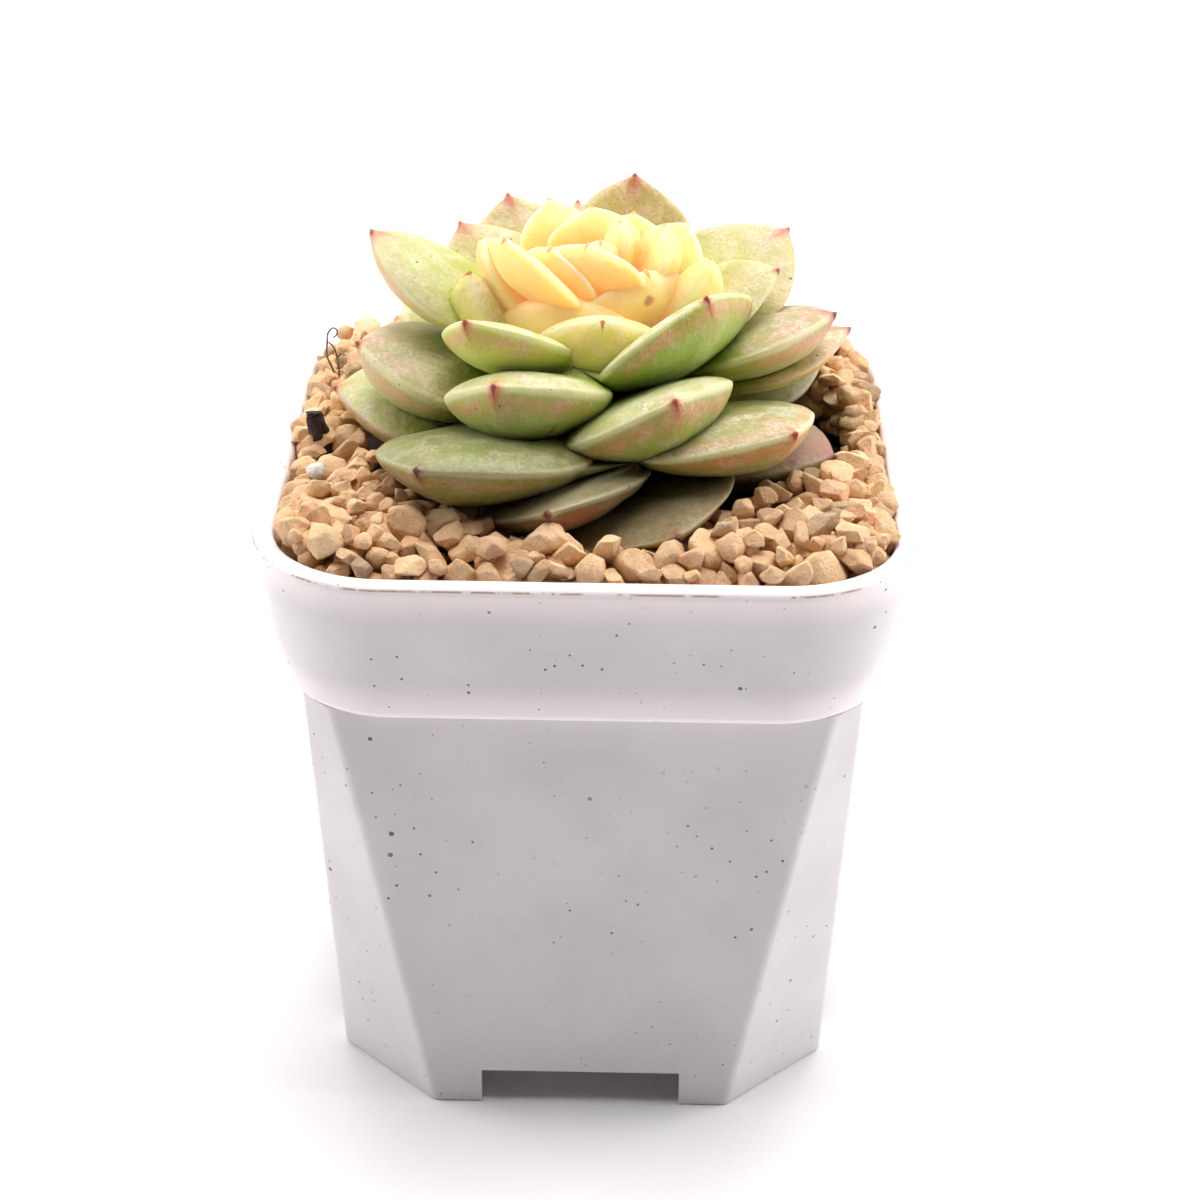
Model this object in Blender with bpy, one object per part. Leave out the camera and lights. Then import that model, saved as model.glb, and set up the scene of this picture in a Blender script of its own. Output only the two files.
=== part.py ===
"""A potted succulent: a rosette of thick pointed leaves on a short stem, rooted in
soil under a dressing of gravel, in a small square pot with a tall rim.

Metres, +Z up. The origin is the centre of the footprint, on the surface that the
pot stands on, and -Y is the front."""

import math
import random
from typing import NamedTuple

import bmesh
import bpy
from mathutils import Matrix, Vector
from mathutils.bvhtree import BVHTree

MM = 0.001

# The pot: a tapered square body with bevelled corners, under a tall rounded rim.
POT_WIDTH = 70 * MM
POT_HEIGHT = 69 * MM
RIM_HEIGHT = 17 * MM
RIM_DRAFT = 3 * MM
RIM_STEP = 2.4 * MM
RIM_CORNER = 14.5 * MM
RIM_CORNER_LOW = 12.4 * MM
LIP_WIDTH = 2.4 * MM
RIM_EDGE = 1.1 * MM
BODY_DRAFT = 2.1 * MM
BEVEL_LEG_TOP = 3.2 * MM
BEVEL_LEG_BASE = 11.1 * MM
BEVEL_SOFTENING = 1.2 * MM
WALL = 1.4 * MM
FOOT_HEIGHT = 5 * MM
FLOOR = 1.5 * MM
NOTCH_WIDTH = 22.2 * MM
NOTCH_HEIGHT = 4.5 * MM
DRAIN_RADIUS = 4 * MM

# Every cut piece keeps this gap to its neighbour, and its slivers are welded.
CLEARANCE = 0.3 * MM
WELD = 0.02 * MM

# The filling.
SOIL_BELOW_LIP = 4.6 * MM
SOIL_RISE = 1.6 * MM
GRAVEL_BELOW_LIP = 0.8 * MM
GRAVEL_HEAP = 2.0 * MM
GRAVEL_BUMP = 0.7 * MM
GRAVEL_OPENING = 22 * MM
GRAVEL_SEED = 7

# The plant: its stem leans a little to the front.
PLANT_BELOW_LIP = 3 * MM
PLANT_X = 0.8 * MM
PLANT_Y = 3 * MM
PLANT_LEAN = math.radians(4)
STEM_RADIUS = 3.5 * MM
STEM_LENGTH = 24 * MM
STEM_TIP_RADIUS = 0.6 * MM
ROOT_DEPTH = 12 * MM
ROOT_RADIUS = 1.4 * MM
LEAF_LENGTH = 26 * MM
LEAF_WIDTH = 19 * MM
LEAF_THICKNESS = 5.5 * MM
LEAF_SINK = 0.5 * MM
LEAF_POINT = 0.7 * MM
LEAF_GRID = (8, 10)
YOUNG_LENGTH = 0.65
YOUNG_GRID = (6, 8)

# What lies in the gravel.
TWIG_RADIUS = 1.05 * MM
TWIG_LENGTH = 7.7 * MM
ROOTLET_RADIUS = 0.2 * MM
PERLITE_RADIUS = 1.05 * MM


class Leaf(NamedTuple):
    """One leaf: where it grows, how it turns up, and its size beside a full leaf's.

    azimuth: degrees round the stem from the front, towards +X.
    seat: its height on the stem, as a share of the stem's length.
    rise, tip_rise: degrees above level where it leaves the stem and at its tip.
    length, width, thickness: shares of a full-grown leaf's.
    roll: degrees that the blade turns about its own length."""

    azimuth: float
    seat: float
    rise: float
    tip_rise: float
    length: float
    width: float
    thickness: float
    roll: float


# The lowest leaves, old and dull, lying on the gravel.
OLD_LEAVES = (
    Leaf(17, 0.10, 4, 15, 1.06, 1.03, 0.65, 16),
    Leaf(-9, 0.19, -4, 25, 1.03, 1.00, 0.82, 19),
    Leaf(-33, 0.29, 2, 23, 1.18, 1.25, 1.25, 10),
    Leaf(-123, 0.12, 0, 14, 1.03, 0.93, 0.87, -16),
    Leaf(-163, 0.06, 1, 11, 1.10, 0.93, 0.78, -2),
    Leaf(148, 0.12, -3, 12, 1.03, 0.93, 0.85, 9),
    Leaf(126, 0.21, 3, 10, 1.07, 0.93, 0.89, 13),
)
# The full green leaves, from the lowest up.
GREEN_LEAVES = (
    Leaf(69, 0.18, 1, 8, 0.94, 0.94, 1.15, -5),
    Leaf(-89, 0.20, 3, 14, 1.00, 1.03, 1.20, 0),
    Leaf(-178, 0.24, 2, 13, 1.02, 0.96, 0.87, -7),
    Leaf(-128, 0.29, 3, 34, 0.99, 0.95, 0.91, 9),
    Leaf(46, 0.28, 7, 26, 1.04, 1.14, 1.10, -4),
    Leaf(-174, 0.33, 7, 39, 1.05, 0.93, 0.78, -1),
    Leaf(103, 0.39, -2, 20, 0.99, 0.93, 0.78, -10),
    Leaf(-80, 0.39, 6, 27, 0.93, 0.97, 1.45, 0),
    Leaf(21, 0.40, 3, 46, 0.87, 1.03, 1.20, 12),
    Leaf(141, 0.42, 9, 31, 0.99, 0.95, 0.96, 4),
    Leaf(-151, 0.39, 14, 58, 0.92, 0.88, 0.82, -12),
    Leaf(-127, 0.46, 22, 50, 0.79, 0.69, 0.82, -24),
    Leaf(166, 0.48, 15, 90, 0.84, 0.80, 0.84, 4),
    Leaf(88, 0.47, 12, 25, 0.91, 0.98, 1.05, -14),
    Leaf(-27, 0.48, 2, 42, 0.84, 0.97, 1.29, 15),
    Leaf(46, 0.50, 24, 68, 0.73, 1.14, 0.96, 0),
    Leaf(-41, 0.53, 22, 45, 0.82, 0.76, 0.80, 17),
    Leaf(-94, 0.64, 8, 45, 0.97, 0.84, 1.05, 2),
    Leaf(118, 0.66, 1, 37, 0.88, 0.97, 0.60, 8),
    Leaf(92, 0.55, 29, 33, 0.74, 0.63, 0.47, 14),
)
# The small pale leaves round the growing tip.
HEART_LEAVES = (
    Leaf(-72, 0.51, 12, 83, 0.69, 0.45, 1.07, -9),
    Leaf(3, 0.59, 27, 56, 0.54, 0.72, 1.10, -2),
    Leaf(-30, 0.61, 31, 81, 0.43, 0.76, 0.75, 18),
    Leaf(-153, 0.58, 29, 72, 0.52, 0.61, 0.71, 3),
    Leaf(76, 0.63, 23, 73, 0.59, 0.38, 0.89, 3),
    Leaf(159, 0.63, 29, 76, 0.52, 0.64, 0.62, 13),
    Leaf(50, 0.65, 39, 91, 0.42, 0.74, 0.70, -18),
    Leaf(-88, 0.66, 25, 69, 0.60, 0.56, 0.62, -1),
    Leaf(-142, 0.67, 39, 82, 0.55, 0.56, 0.64, 2),
    Leaf(118, 0.69, 31, 65, 0.52, 0.59, 0.56, 13),
    Leaf(-171, 0.78, 51, 86, 0.40, 0.56, 0.69, 9),
    Leaf(-57, 0.78, 30, 63, 0.58, 0.72, 0.66, 4),
    Leaf(-52, 0.78, 38, 83, 0.40, 0.56, 0.50, 7),
    Leaf(92, 0.73, 38, 90, 0.48, 0.44, 0.71, 5),
    Leaf(-14, 0.83, 45, 92, 0.35, 0.68, 0.66, -8),
    Leaf(121, 0.84, 66, 92, 0.32, 0.28, 0.65, -7),
    Leaf(179, 0.88, 76, 100, 0.19, 0.25, 0.45, -1),
    Leaf(9, 0.93, 75, 92, 0.19, 0.24, 0.44, 0),
)
LEAVES = OLD_LEAVES + GREEN_LEAVES + HEART_LEAVES


def smooth_step(share):
    share = min(max(share, 0.0), 1.0)
    return share * share * (3 - 2 * share)


def stem_radius(height):
    """The stem keeps its radius for half its length, then tapers to its growing tip."""
    taper = min(max((height / STEM_LENGTH - 0.5) / 0.5, 0.0), 1.0)
    return STEM_RADIUS + (STEM_TIP_RADIUS - STEM_RADIUS) * taper


def plant_matrix():
    seat = Vector((PLANT_X, PLANT_Y, POT_HEIGHT - PLANT_BELOW_LIP))
    return Matrix.Translation(seat) @ Matrix.Rotation(PLANT_LEAN, 4, "X")


# ---------------------------------------------------------------- mesh building


def make_material(name, colour, roughness):
    material = bpy.data.materials.new(name)
    material.use_nodes = True
    shader = material.node_tree.nodes["Principled BSDF"]
    shader.inputs["Base Color"].default_value = (*colour, 1)
    shader.inputs["Roughness"].default_value = roughness
    shader.inputs["Metallic"].default_value = 0
    return material


def make_object(name, mesh, material):
    mesh.materials.append(material)
    mesh.shade_smooth()
    mesh.set_sharp_from_angle(angle=math.radians(40))
    obj = bpy.data.objects.new(name, mesh)
    bpy.context.scene.collection.objects.link(obj)
    return obj


def loft(name, rings, cyclic=False):
    """A closed mesh through rings of equal length. A ring of one point is a pole."""
    mesh = bmesh.new()
    loops = [[mesh.verts.new(point) for point in ring] for ring in rings]
    pairs = list(zip(loops, loops[1:]))
    if cyclic:
        pairs.append((loops[-1], loops[0]))
    for low, high in pairs:
        count = max(len(low), len(high))
        for i in range(count):
            corners = [
                low[i % len(low)],
                low[(i + 1) % len(low)],
                high[(i + 1) % len(high)],
                high[i % len(high)],
            ]
            mesh.faces.new(dict.fromkeys(corners))
    bmesh.ops.recalc_face_normals(mesh, faces=mesh.faces)
    data = bpy.data.meshes.new(name)
    mesh.to_mesh(data)
    mesh.free()
    return data


def grown(data, distance):
    """A copy of a closed mesh with every face moved out by about the distance."""
    mesh = bmesh.new()
    mesh.from_mesh(data)
    mesh.normal_update()
    moves = [v.normal * min(v.calc_shell_factor(), 2.0) * distance for v in mesh.verts]
    for vertex, move in zip(mesh.verts, moves):
        vertex.co += move
    copy = bpy.data.meshes.new(data.name + "_clearance")
    mesh.to_mesh(copy)
    mesh.free()
    return copy


def tree_of(data):
    return BVHTree.FromPolygons(
        [v.co for v in data.vertices], [p.vertices for p in data.polygons]
    )


def largest_body(data):
    """Welds the slivers of a cut and drops the crumbs that it leaves beside the body."""
    mesh = bmesh.new()
    mesh.from_mesh(data)
    bmesh.ops.remove_doubles(mesh, verts=mesh.verts, dist=WELD)
    left = set(mesh.verts)
    bodies = []
    while left:
        body = set()
        edge_of_body = [left.pop()]
        while edge_of_body:
            vertex = edge_of_body.pop()
            body.add(vertex)
            near = {e.other_vert(vertex) for e in vertex.link_edges} & left
            left -= near
            edge_of_body.extend(near)
        bodies.append(body)
    keep = max(bodies, key=len)
    crumbs = [v for v in mesh.verts if v not in keep]
    bmesh.ops.delete(mesh, geom=crumbs, context="VERTS")
    mesh.to_mesh(data)
    mesh.free()


def cut(data, cutters, solver="EXACT"):
    """The mesh with every cutter taken away, each by its own Boolean."""
    target = bpy.data.objects.new(data.name, data)
    bpy.context.scene.collection.objects.link(target)
    helpers = []
    for cutter in cutters:
        helper = bpy.data.objects.new(cutter.name, cutter)
        helper.hide_render = True
        helper.display_type = "WIRE"
        bpy.context.scene.collection.objects.link(helper)
        helpers.append(helper)
        modifier = target.modifiers.new(cutter.name, "BOOLEAN")
        modifier.operation = "DIFFERENCE"
        modifier.solver = solver
        modifier.object = helper
    graph = bpy.context.evaluated_depsgraph_get()
    shaped = bpy.data.meshes.new_from_object(target.evaluated_get(graph))
    for helper in [target, *helpers]:
        bpy.data.objects.remove(helper)
    largest_body(shaped)
    return shaped


def box(name, low, high):
    mesh = bmesh.new()
    bmesh.ops.create_cube(mesh, size=1)
    for vertex in mesh.verts:
        for axis in range(3):
            side = high[axis] if vertex.co[axis] > 0 else low[axis]
            vertex.co[axis] = side
    data = bpy.data.meshes.new(name)
    mesh.to_mesh(data)
    mesh.free()
    return data


# ---------------------------------------------------------------- the pot


def rounded_corner(half, radius):
    """Points of a quarter circle, for the corner towards +X and +Y."""
    centre = half - radius
    angles = [math.radians(90) * i / 7 for i in range(8)]
    return [(centre + radius * math.cos(a), centre + radius * math.sin(a)) for a in angles]


def bevelled_corner(half, leg):
    """Points of a flat bevel whose two edges are softened."""
    reach = BEVEL_SOFTENING * math.tan(math.radians(22.5))
    first = []
    for i in range(4):
        angle = math.radians(15 * i)
        x = half - BEVEL_SOFTENING * (1 - math.cos(angle))
        y = half - leg - reach + BEVEL_SOFTENING * math.sin(angle)
        first.append((x, y))
    second = [(y, x) for x, y in reversed(first)]
    return first + second


def square_ring(corner, z, side_points=0):
    """A closed ring from one corner's points, turned into the other three."""
    ring = []
    for quarter in range(4):
        turn = Matrix.Rotation(math.radians(90 * quarter), 3, "Z")
        ring.extend(turn @ Vector((x, y, z)) for x, y in corner)
        start = ring[-1]
        end = turn @ Matrix.Rotation(math.radians(90), 3, "Z") @ Vector((*corner[0], z))
        for i in range(side_points):
            ring.append(start.lerp(end, (i + 1) / (side_points + 1)))
    return ring


RIM_UNDER = POT_HEIGHT - RIM_HEIGHT
LEDGE = RIM_UNDER + WALL
FLOOR_TOP = FOOT_HEIGHT + FLOOR


def body_corner(z, inset=0.0):
    """The body's corner at a height: it tapers in and its bevel widens to the base."""
    share = z / RIM_UNDER
    top_half = POT_WIDTH / 2 - RIM_DRAFT - RIM_STEP
    half = top_half - BODY_DRAFT * (1 - share) - inset
    leg = BEVEL_LEG_BASE + (BEVEL_LEG_TOP - BEVEL_LEG_BASE) * share
    return bevelled_corner(half, leg - inset * (2 - math.sqrt(2)))


def rim_corner(z, inset=0.0):
    """The rim's corner at a height: it spreads towards the lip."""
    share = (z - RIM_UNDER) / RIM_HEIGHT
    half = POT_WIDTH / 2 - RIM_DRAFT * (1 - share) - inset
    radius = RIM_CORNER_LOW + (RIM_CORNER - RIM_CORNER_LOW) * share
    return rounded_corner(half, radius - inset)


def rim_wall(z):
    """The rim's thickness at a height: it grows from the ledge to the lip."""
    share = (z - LEDGE) / (POT_HEIGHT - RIM_EDGE - LEDGE)
    return WALL + (LIP_WIDTH - WALL) * share


def rim_edge(z, turns):
    """Rings round a quarter turn of the rim's outer edge; z is its flat face's height."""
    rings = []
    for degrees in turns:
        angle = math.radians(degrees)
        height = z - math.copysign(RIM_EDGE, math.sin(angle)) + RIM_EDGE * math.sin(angle)
        rings.append(square_ring(rim_corner(height, RIM_EDGE * (1 - math.cos(angle))), height))
    return rings


def build_pot(material):
    skirt = body_corner(0, WALL)
    rings = [
        [Vector((0, 0, FOOT_HEIGHT))],
        square_ring(body_corner(FOOT_HEIGHT, WALL), FOOT_HEIGHT),
        square_ring(skirt, 0),
        square_ring(body_corner(0), 0),
        square_ring(body_corner(RIM_UNDER), RIM_UNDER),
        *rim_edge(RIM_UNDER, (-90, -60, -30, -1)),
        *rim_edge(POT_HEIGHT, (1, 30, 60, 90)),
        square_ring(rim_corner(POT_HEIGHT, LIP_WIDTH), POT_HEIGHT),
        square_ring(rim_corner(POT_HEIGHT - RIM_EDGE, LIP_WIDTH), POT_HEIGHT - RIM_EDGE),
        square_ring(rim_corner(LEDGE, WALL), LEDGE),
        square_ring(body_corner(RIM_UNDER, WALL), LEDGE),
        square_ring(body_corner(FLOOR_TOP, WALL), FLOOR_TOP),
        [Vector((0, 0, FLOOR_TOP))],
    ]
    shell = loft("pot", rings)
    half_notch = NOTCH_WIDTH / 2
    low = -MM
    notch_x = box("notch_x", (-POT_WIDTH, -half_notch, low), (POT_WIDTH, half_notch, NOTCH_HEIGHT))
    notch_y = box("notch_y", (-half_notch, -POT_WIDTH, low), (half_notch, POT_WIDTH, NOTCH_HEIGHT))
    drain_ring = [
        Vector((DRAIN_RADIUS * math.cos(a), DRAIN_RADIUS * math.sin(a), 0))
        for a in (math.tau * i / 16 for i in range(16))
    ]
    bottom = FOOT_HEIGHT - MM
    top = FLOOR_TOP + MM
    drain = loft(
        "drain",
        [
            [Vector((0, 0, bottom))],
            [p + Vector((0, 0, bottom)) for p in drain_ring],
            [p + Vector((0, 0, top)) for p in drain_ring],
            [Vector((0, 0, top))],
        ],
    )
    return make_object("pot", cut(shell, [notch_x, notch_y, drain]), material)


# ---------------------------------------------------------------- soil and gravel

# The bed's rings run from the wall, at share 0, to the opening round the plant, at
# share 1, with extra points along each straight side of the pot.
SIDE_POINTS = 5
BED_SHARES = (0.0, 0.2, 0.4, 0.6, 0.8, 1.0)
RING_POINTS = 4 * (8 + SIDE_POINTS)


def soil_height(share):
    """The soil's top: level under the gravel's edge, rising towards the plant."""
    return POT_HEIGHT - SOIL_BELOW_LIP + SOIL_RISE * smooth_step((share - 0.3) / 0.6)


def bed_ring(share, heights):
    """A ring of the bed, its points at the heights given."""
    level = POT_HEIGHT - SOIL_BELOW_LIP
    edge = rim_corner(level, rim_wall(level) + CLEARANCE)
    outer = square_ring(edge, 0, SIDE_POINTS)
    ring = []
    for point, height in zip(outer, heights):
        flat = Vector((point.x - PLANT_X, point.y - PLANT_Y, 0))
        inner = Vector((PLANT_X, PLANT_Y, 0)) + flat.normalized() * GRAVEL_OPENING
        ring.append(point.lerp(inner, share) + Vector((0, 0, height)))
    return ring


def build_soil(material, cutters):
    wall = WALL + CLEARANCE
    low = FLOOR_TOP + CLEARANCE
    shelf = LEDGE + CLEARANCE
    rings = [
        [Vector((0, 0, low))],
        square_ring(body_corner(FLOOR_TOP, wall), low, SIDE_POINTS),
        square_ring(body_corner(RIM_UNDER, wall), shelf, SIDE_POINTS),
        square_ring(rim_corner(LEDGE, wall), shelf, SIDE_POINTS),
    ]
    for share in BED_SHARES:
        rings.append(bed_ring(share, [soil_height(share)] * RING_POINTS))
    top = soil_height(1.0)
    centre = Vector((PLANT_X, PLANT_Y, 0))
    inner = [
        centre + (point - centre) * 0.5 + Vector((0, 0, top))
        for point in bed_ring(1.0, [0.0] * RING_POINTS)
    ]
    rings.append(inner)
    rings.append([centre + Vector((0, 0, top))])
    return make_object("soil", cut(loft("soil", rings), cutters, "MANIFOLD"), material)


def gravel_height(share):
    """The gravel's top before its bumps: near the lip at the wall, heaped inside."""
    heap = math.sin(math.pi * min(share / 0.9, 1.0) * 0.75)
    return POT_HEIGHT - GRAVEL_BELOW_LIP + GRAVEL_HEAP * heap * (1 - 0.4 * share)


def build_gravel(material, cutters):
    """One bed for the packed granules, bumpy on top, that follows the soil below."""
    dice = random.Random(GRAVEL_SEED)
    rings = []
    for share in BED_SHARES:
        bumps = [dice.uniform(-GRAVEL_BUMP, GRAVEL_BUMP) for _ in range(RING_POINTS)]
        heights = [gravel_height(share) + bump for bump in bumps]
        rings.append(bed_ring(share, heights))
    for share in reversed(BED_SHARES):
        height = soil_height(share) + CLEARANCE
        rings.append(bed_ring(share, [height] * RING_POINTS))
    bed = loft("gravel_bed", rings, cyclic=True)
    return make_object("gravel_bed", cut(bed, cutters, "MANIFOLD"), material)


# ---------------------------------------------------------------- the plant

# The blade's shape, as shares of the leaf's own length, width and thickness. Its
# cross-sections crowd towards the tip, where it curves most.
BLADE_WIDEST = 0.60
BLADE_THICKEST = 0.55
NECK_WIDTH = 0.34
NECK_THICKNESS = 0.34
UPPER_SHARE = 0.42
KEEL = 0.12
CUP = 0.03
CROWDING = 1.35


def blade_width(share):
    """The outline: a narrow neck, widest past the middle, then a blunt point."""
    if share < BLADE_WIDEST:
        return NECK_WIDTH + (1 - NECK_WIDTH) * smooth_step(share / BLADE_WIDEST) ** 0.9
    return (1 - ((share - BLADE_WIDEST) / (1 - BLADE_WIDEST)) ** 2.1) ** 0.82


def blade_thickness(share):
    if share < BLADE_THICKEST:
        return NECK_THICKNESS + (1 - NECK_THICKNESS) * smooth_step(share / BLADE_THICKEST)
    return (1 - ((share - BLADE_THICKEST) / (1 - BLADE_THICKEST)) ** 2.8) ** 0.75


def leaf_rings(leaf, stations, sides):
    """Lens-shaped cross-sections along the leaf's curved midrib, in the plant's frame."""
    length = LEAF_LENGTH * leaf.length
    half_width = LEAF_WIDTH * leaf.width / 2
    thickness = LEAF_THICKNESS * leaf.thickness
    seat = STEM_LENGTH * leaf.seat
    rib = Vector((0, stem_radius(seat) - LEAF_SINK, seat))
    turn = Matrix.Rotation(math.pi + math.radians(leaf.azimuth), 3, "Z")
    shares = [1 - (1 - i / stations) ** CROWDING for i in range(stations + 1)]
    rings = []
    before = 0.0
    for share in shares:
        middle = math.radians(leaf.rise + (leaf.tip_rise - leaf.rise) * (before + share) / 2)
        step = (share - before) * length
        rib = rib + Vector((0, math.cos(middle), math.sin(middle))) * step
        before = share
        angle = math.radians(leaf.rise + (leaf.tip_rise - leaf.rise) * share)
        normal = Vector((0, -math.sin(angle), math.cos(angle)))
        along = Vector((0, math.cos(angle), math.sin(angle)))
        if share == 1:
            rings.append([turn @ (rib + along * LEAF_POINT)])
            break
        roll = Matrix.Rotation(math.radians(leaf.roll) * smooth_step(share / 0.5), 3, along)
        half = half_width * blade_width(share)
        thick = thickness * blade_thickness(share)
        keel = KEEL * thick * smooth_step((share - 0.35) / 0.5)
        ring = []
        for i in range(sides):
            angle = math.tau * i / sides
            across = math.cos(angle)
            lens = (1 - across * across) ** 0.8 if abs(across) < 1 else 0.0
            if math.sin(angle) >= 0:
                rise = UPPER_SHARE * thick * lens
            else:
                rise = (UPPER_SHARE - 1) * thick * lens - keel * (1 - abs(across)) ** 1.5
            rise += CUP * half * across * across
            offset = Vector((-across * half, 0, 0)) + normal * rise
            ring.append(turn @ (rib + roll @ offset))
        rings.append(ring)
    root = sum(rings[0], Vector()) / sides
    return [[root], *rings]


def leaf_mesh(name, leaf):
    stations, sides = YOUNG_GRID if leaf.length < YOUNG_LENGTH else LEAF_GRID
    placed = plant_matrix()
    rings = [[placed @ point for point in ring] for ring in leaf_rings(leaf, stations, sides)]
    return loft(name, rings)


def stem_mesh():
    heights = (-ROOT_DEPTH, -ROOT_DEPTH * 0.6, -ROOT_DEPTH * 0.1, 0.1 * STEM_LENGTH)
    radii = [ROOT_RADIUS, ROOT_RADIUS * 1.5, STEM_RADIUS, STEM_RADIUS]
    shares = (0.5, 0.75, 1.0)
    heights += tuple(share * STEM_LENGTH for share in shares)
    radii += [stem_radius(share * STEM_LENGTH) for share in shares]
    sides = 12
    placed = plant_matrix()
    rings = [[placed @ Vector((0, 0, heights[0] - MM))]]
    for height, radius in zip(heights, radii):
        angles = [math.tau * i / sides for i in range(sides)]
        rings.append(
            [placed @ Vector((radius * math.cos(a), radius * math.sin(a), height)) for a in angles]
        )
    rings.append([placed @ Vector((0, 0, heights[-1] + STEM_TIP_RADIUS))])
    return loft("stem", rings)


def build_plant(materials):
    """Each leaf yields to the stem and to the leaves that grow further in."""
    stem = stem_mesh()
    stem_room = grown(stem, CLEARANCE)
    whole = [leaf_mesh(f"leaf_{i:02d}", leaf) for i, leaf in enumerate(LEAVES, 1)]
    rooms = [grown(blade, CLEARANCE) for blade in whole]
    trees = [tree_of(room) for room in rooms]
    for i, blade in enumerate(whole):
        own = tree_of(blade)
        further_in = [
            room for j, room in enumerate(rooms) if j > i and own.overlap(trees[j])
        ]
        shaped = cut(blade, [stem_room, *further_in], "MANIFOLD")
        make_object(f"leaf_{i + 1:02d}", shaped, materials[leaf_age(LEAVES[i])])
    make_object("stem", stem, materials["stem"])
    return [stem_room, *rooms]


def leaf_age(leaf):
    if leaf in OLD_LEAVES:
        return "old_leaf"
    return "heart_leaf" if leaf in HEART_LEAVES else "green_leaf"


# ---------------------------------------------------------------- what lies in the gravel


def tube_mesh(name, points, radii, sides):
    """A closed tube through the points, with a flat ring at each of them."""
    rings = [[points[0]]]
    for i, (point, radius) in enumerate(zip(points, radii)):
        before = points[max(i - 1, 0)]
        after = points[min(i + 1, len(points) - 1)]
        turn = (after - before).to_track_quat("Z", "X")
        angles = [math.tau * k / sides for k in range(sides)]
        rings.append(
            [point + turn @ Vector((radius * math.cos(a), radius * math.sin(a), 0)) for a in angles]
        )
    rings.append([points[-1]])
    return loft(name, rings)


def gravel_point(x, y, above):
    """A point given from the plant's centre, at a height over the lip."""
    return Vector((PLANT_X + x, PLANT_Y + y, POT_HEIGHT + above))


def twig_mesh():
    """A scrap of bark that leans out of the gravel."""
    foot = gravel_point(-29.2 * MM, -5.1 * MM, -3 * MM)
    lean = Vector((-0.24, 0, 1)).normalized()
    shares = (0.0, 0.3, 0.65, 1.0)
    widths = (0.75, 1.0, 0.9, 0.8)
    points = [foot + lean * TWIG_LENGTH * share for share in shares]
    return tube_mesh("bark_twig", points, [TWIG_RADIUS * w for w in widths], 8)


def rootlet_mesh():
    """A dry wiry rootlet that stands up and hooks over at its top."""
    foot = gravel_point(-30 * MM, 12.3 * MM, -1.5 * MM)
    route = ((0, 0), (-0.3, 2.5), (-0.8, 3.9), (-1.2, 5.4), (-1.1, 7.1), (-1.0, 7.9), (-0.4, 8.6), (0.1, 8.4))
    points = [foot + Vector((x * MM, 0, z * MM)) for x, z in route]
    return tube_mesh("dry_rootlet", points, [ROOTLET_RADIUS] * len(points), 6)


def perlite_mesh():
    """A rounded bead of perlite, a little flattened."""
    mesh = bmesh.new()
    bmesh.ops.create_icosphere(mesh, subdivisions=2, radius=PERLITE_RADIUS)
    seat = Matrix.Translation(gravel_point(-29.8 * MM, -14 * MM, 0.9 * MM))
    mesh.transform(seat @ Matrix.Diagonal((1.1, 1.0, 0.85, 1)))
    data = bpy.data.meshes.new("perlite_bead")
    mesh.to_mesh(data)
    mesh.free()
    return data


def main():
    for obj in list(bpy.data.objects):
        bpy.data.objects.remove(obj)
    materials = {
        "pot": make_material("white_pot", (0.80, 0.79, 0.80), 0.45),
        "soil": make_material("dark_soil", (0.06, 0.045, 0.035), 0.95),
        "gravel": make_material("tan_gravel", (0.62, 0.42, 0.25), 0.9),
        "stem": make_material("stem", (0.42, 0.36, 0.22), 0.7),
        "old_leaf": make_material("old_leaf", (0.38, 0.35, 0.18), 0.5),
        "green_leaf": make_material("green_leaf", (0.48, 0.55, 0.26), 0.45),
        "heart_leaf": make_material("heart_leaf", (0.86, 0.66, 0.27), 0.4),
        "bark": make_material("bark", (0.10, 0.07, 0.05), 0.9),
        "rootlet": make_material("rootlet", (0.25, 0.22, 0.20), 0.85),
        "perlite": make_material("perlite", (0.88, 0.87, 0.84), 0.8),
    }
    build_pot(materials["pot"])
    rooms = build_plant(materials)
    keepsakes = {"bark": twig_mesh(), "rootlet": rootlet_mesh(), "perlite": perlite_mesh()}
    rooms += [grown(data, CLEARANCE) for data in keepsakes.values()]
    build_soil(materials["soil"], rooms)
    build_gravel(materials["gravel"], rooms)
    for material, data in keepsakes.items():
        make_object(data.name, data, materials[material])


main()
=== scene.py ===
"""The looks of a potted succulent: a fleshy rosette in a small square pot with gravel.

Each class below makes one sub-assembly of the object in metres, in the frame of the
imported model: +Z up, the front towards -Y, the origin under the centre of the pot."""

import logging
import math
from dataclasses import dataclass, field, replace
from enum import Enum
from typing import Iterable, Sequence

import bmesh
import bpy
import numpy as np
from mathutils import Matrix, Vector, noise
from mathutils.bvhtree import BVHTree


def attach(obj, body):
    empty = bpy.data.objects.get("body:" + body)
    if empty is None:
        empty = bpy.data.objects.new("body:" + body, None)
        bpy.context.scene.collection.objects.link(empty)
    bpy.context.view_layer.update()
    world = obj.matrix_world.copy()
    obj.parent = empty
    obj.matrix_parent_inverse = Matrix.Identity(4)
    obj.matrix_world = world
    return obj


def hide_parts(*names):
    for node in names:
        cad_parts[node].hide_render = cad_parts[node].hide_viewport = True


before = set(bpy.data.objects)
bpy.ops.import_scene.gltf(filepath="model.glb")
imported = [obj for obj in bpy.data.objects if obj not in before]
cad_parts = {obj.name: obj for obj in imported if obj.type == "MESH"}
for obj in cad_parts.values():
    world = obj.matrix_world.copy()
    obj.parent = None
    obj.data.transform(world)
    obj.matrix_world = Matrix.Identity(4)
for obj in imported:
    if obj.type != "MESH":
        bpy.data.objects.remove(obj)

LOG = logging.getLogger("succulent")
MM = 0.001
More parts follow.
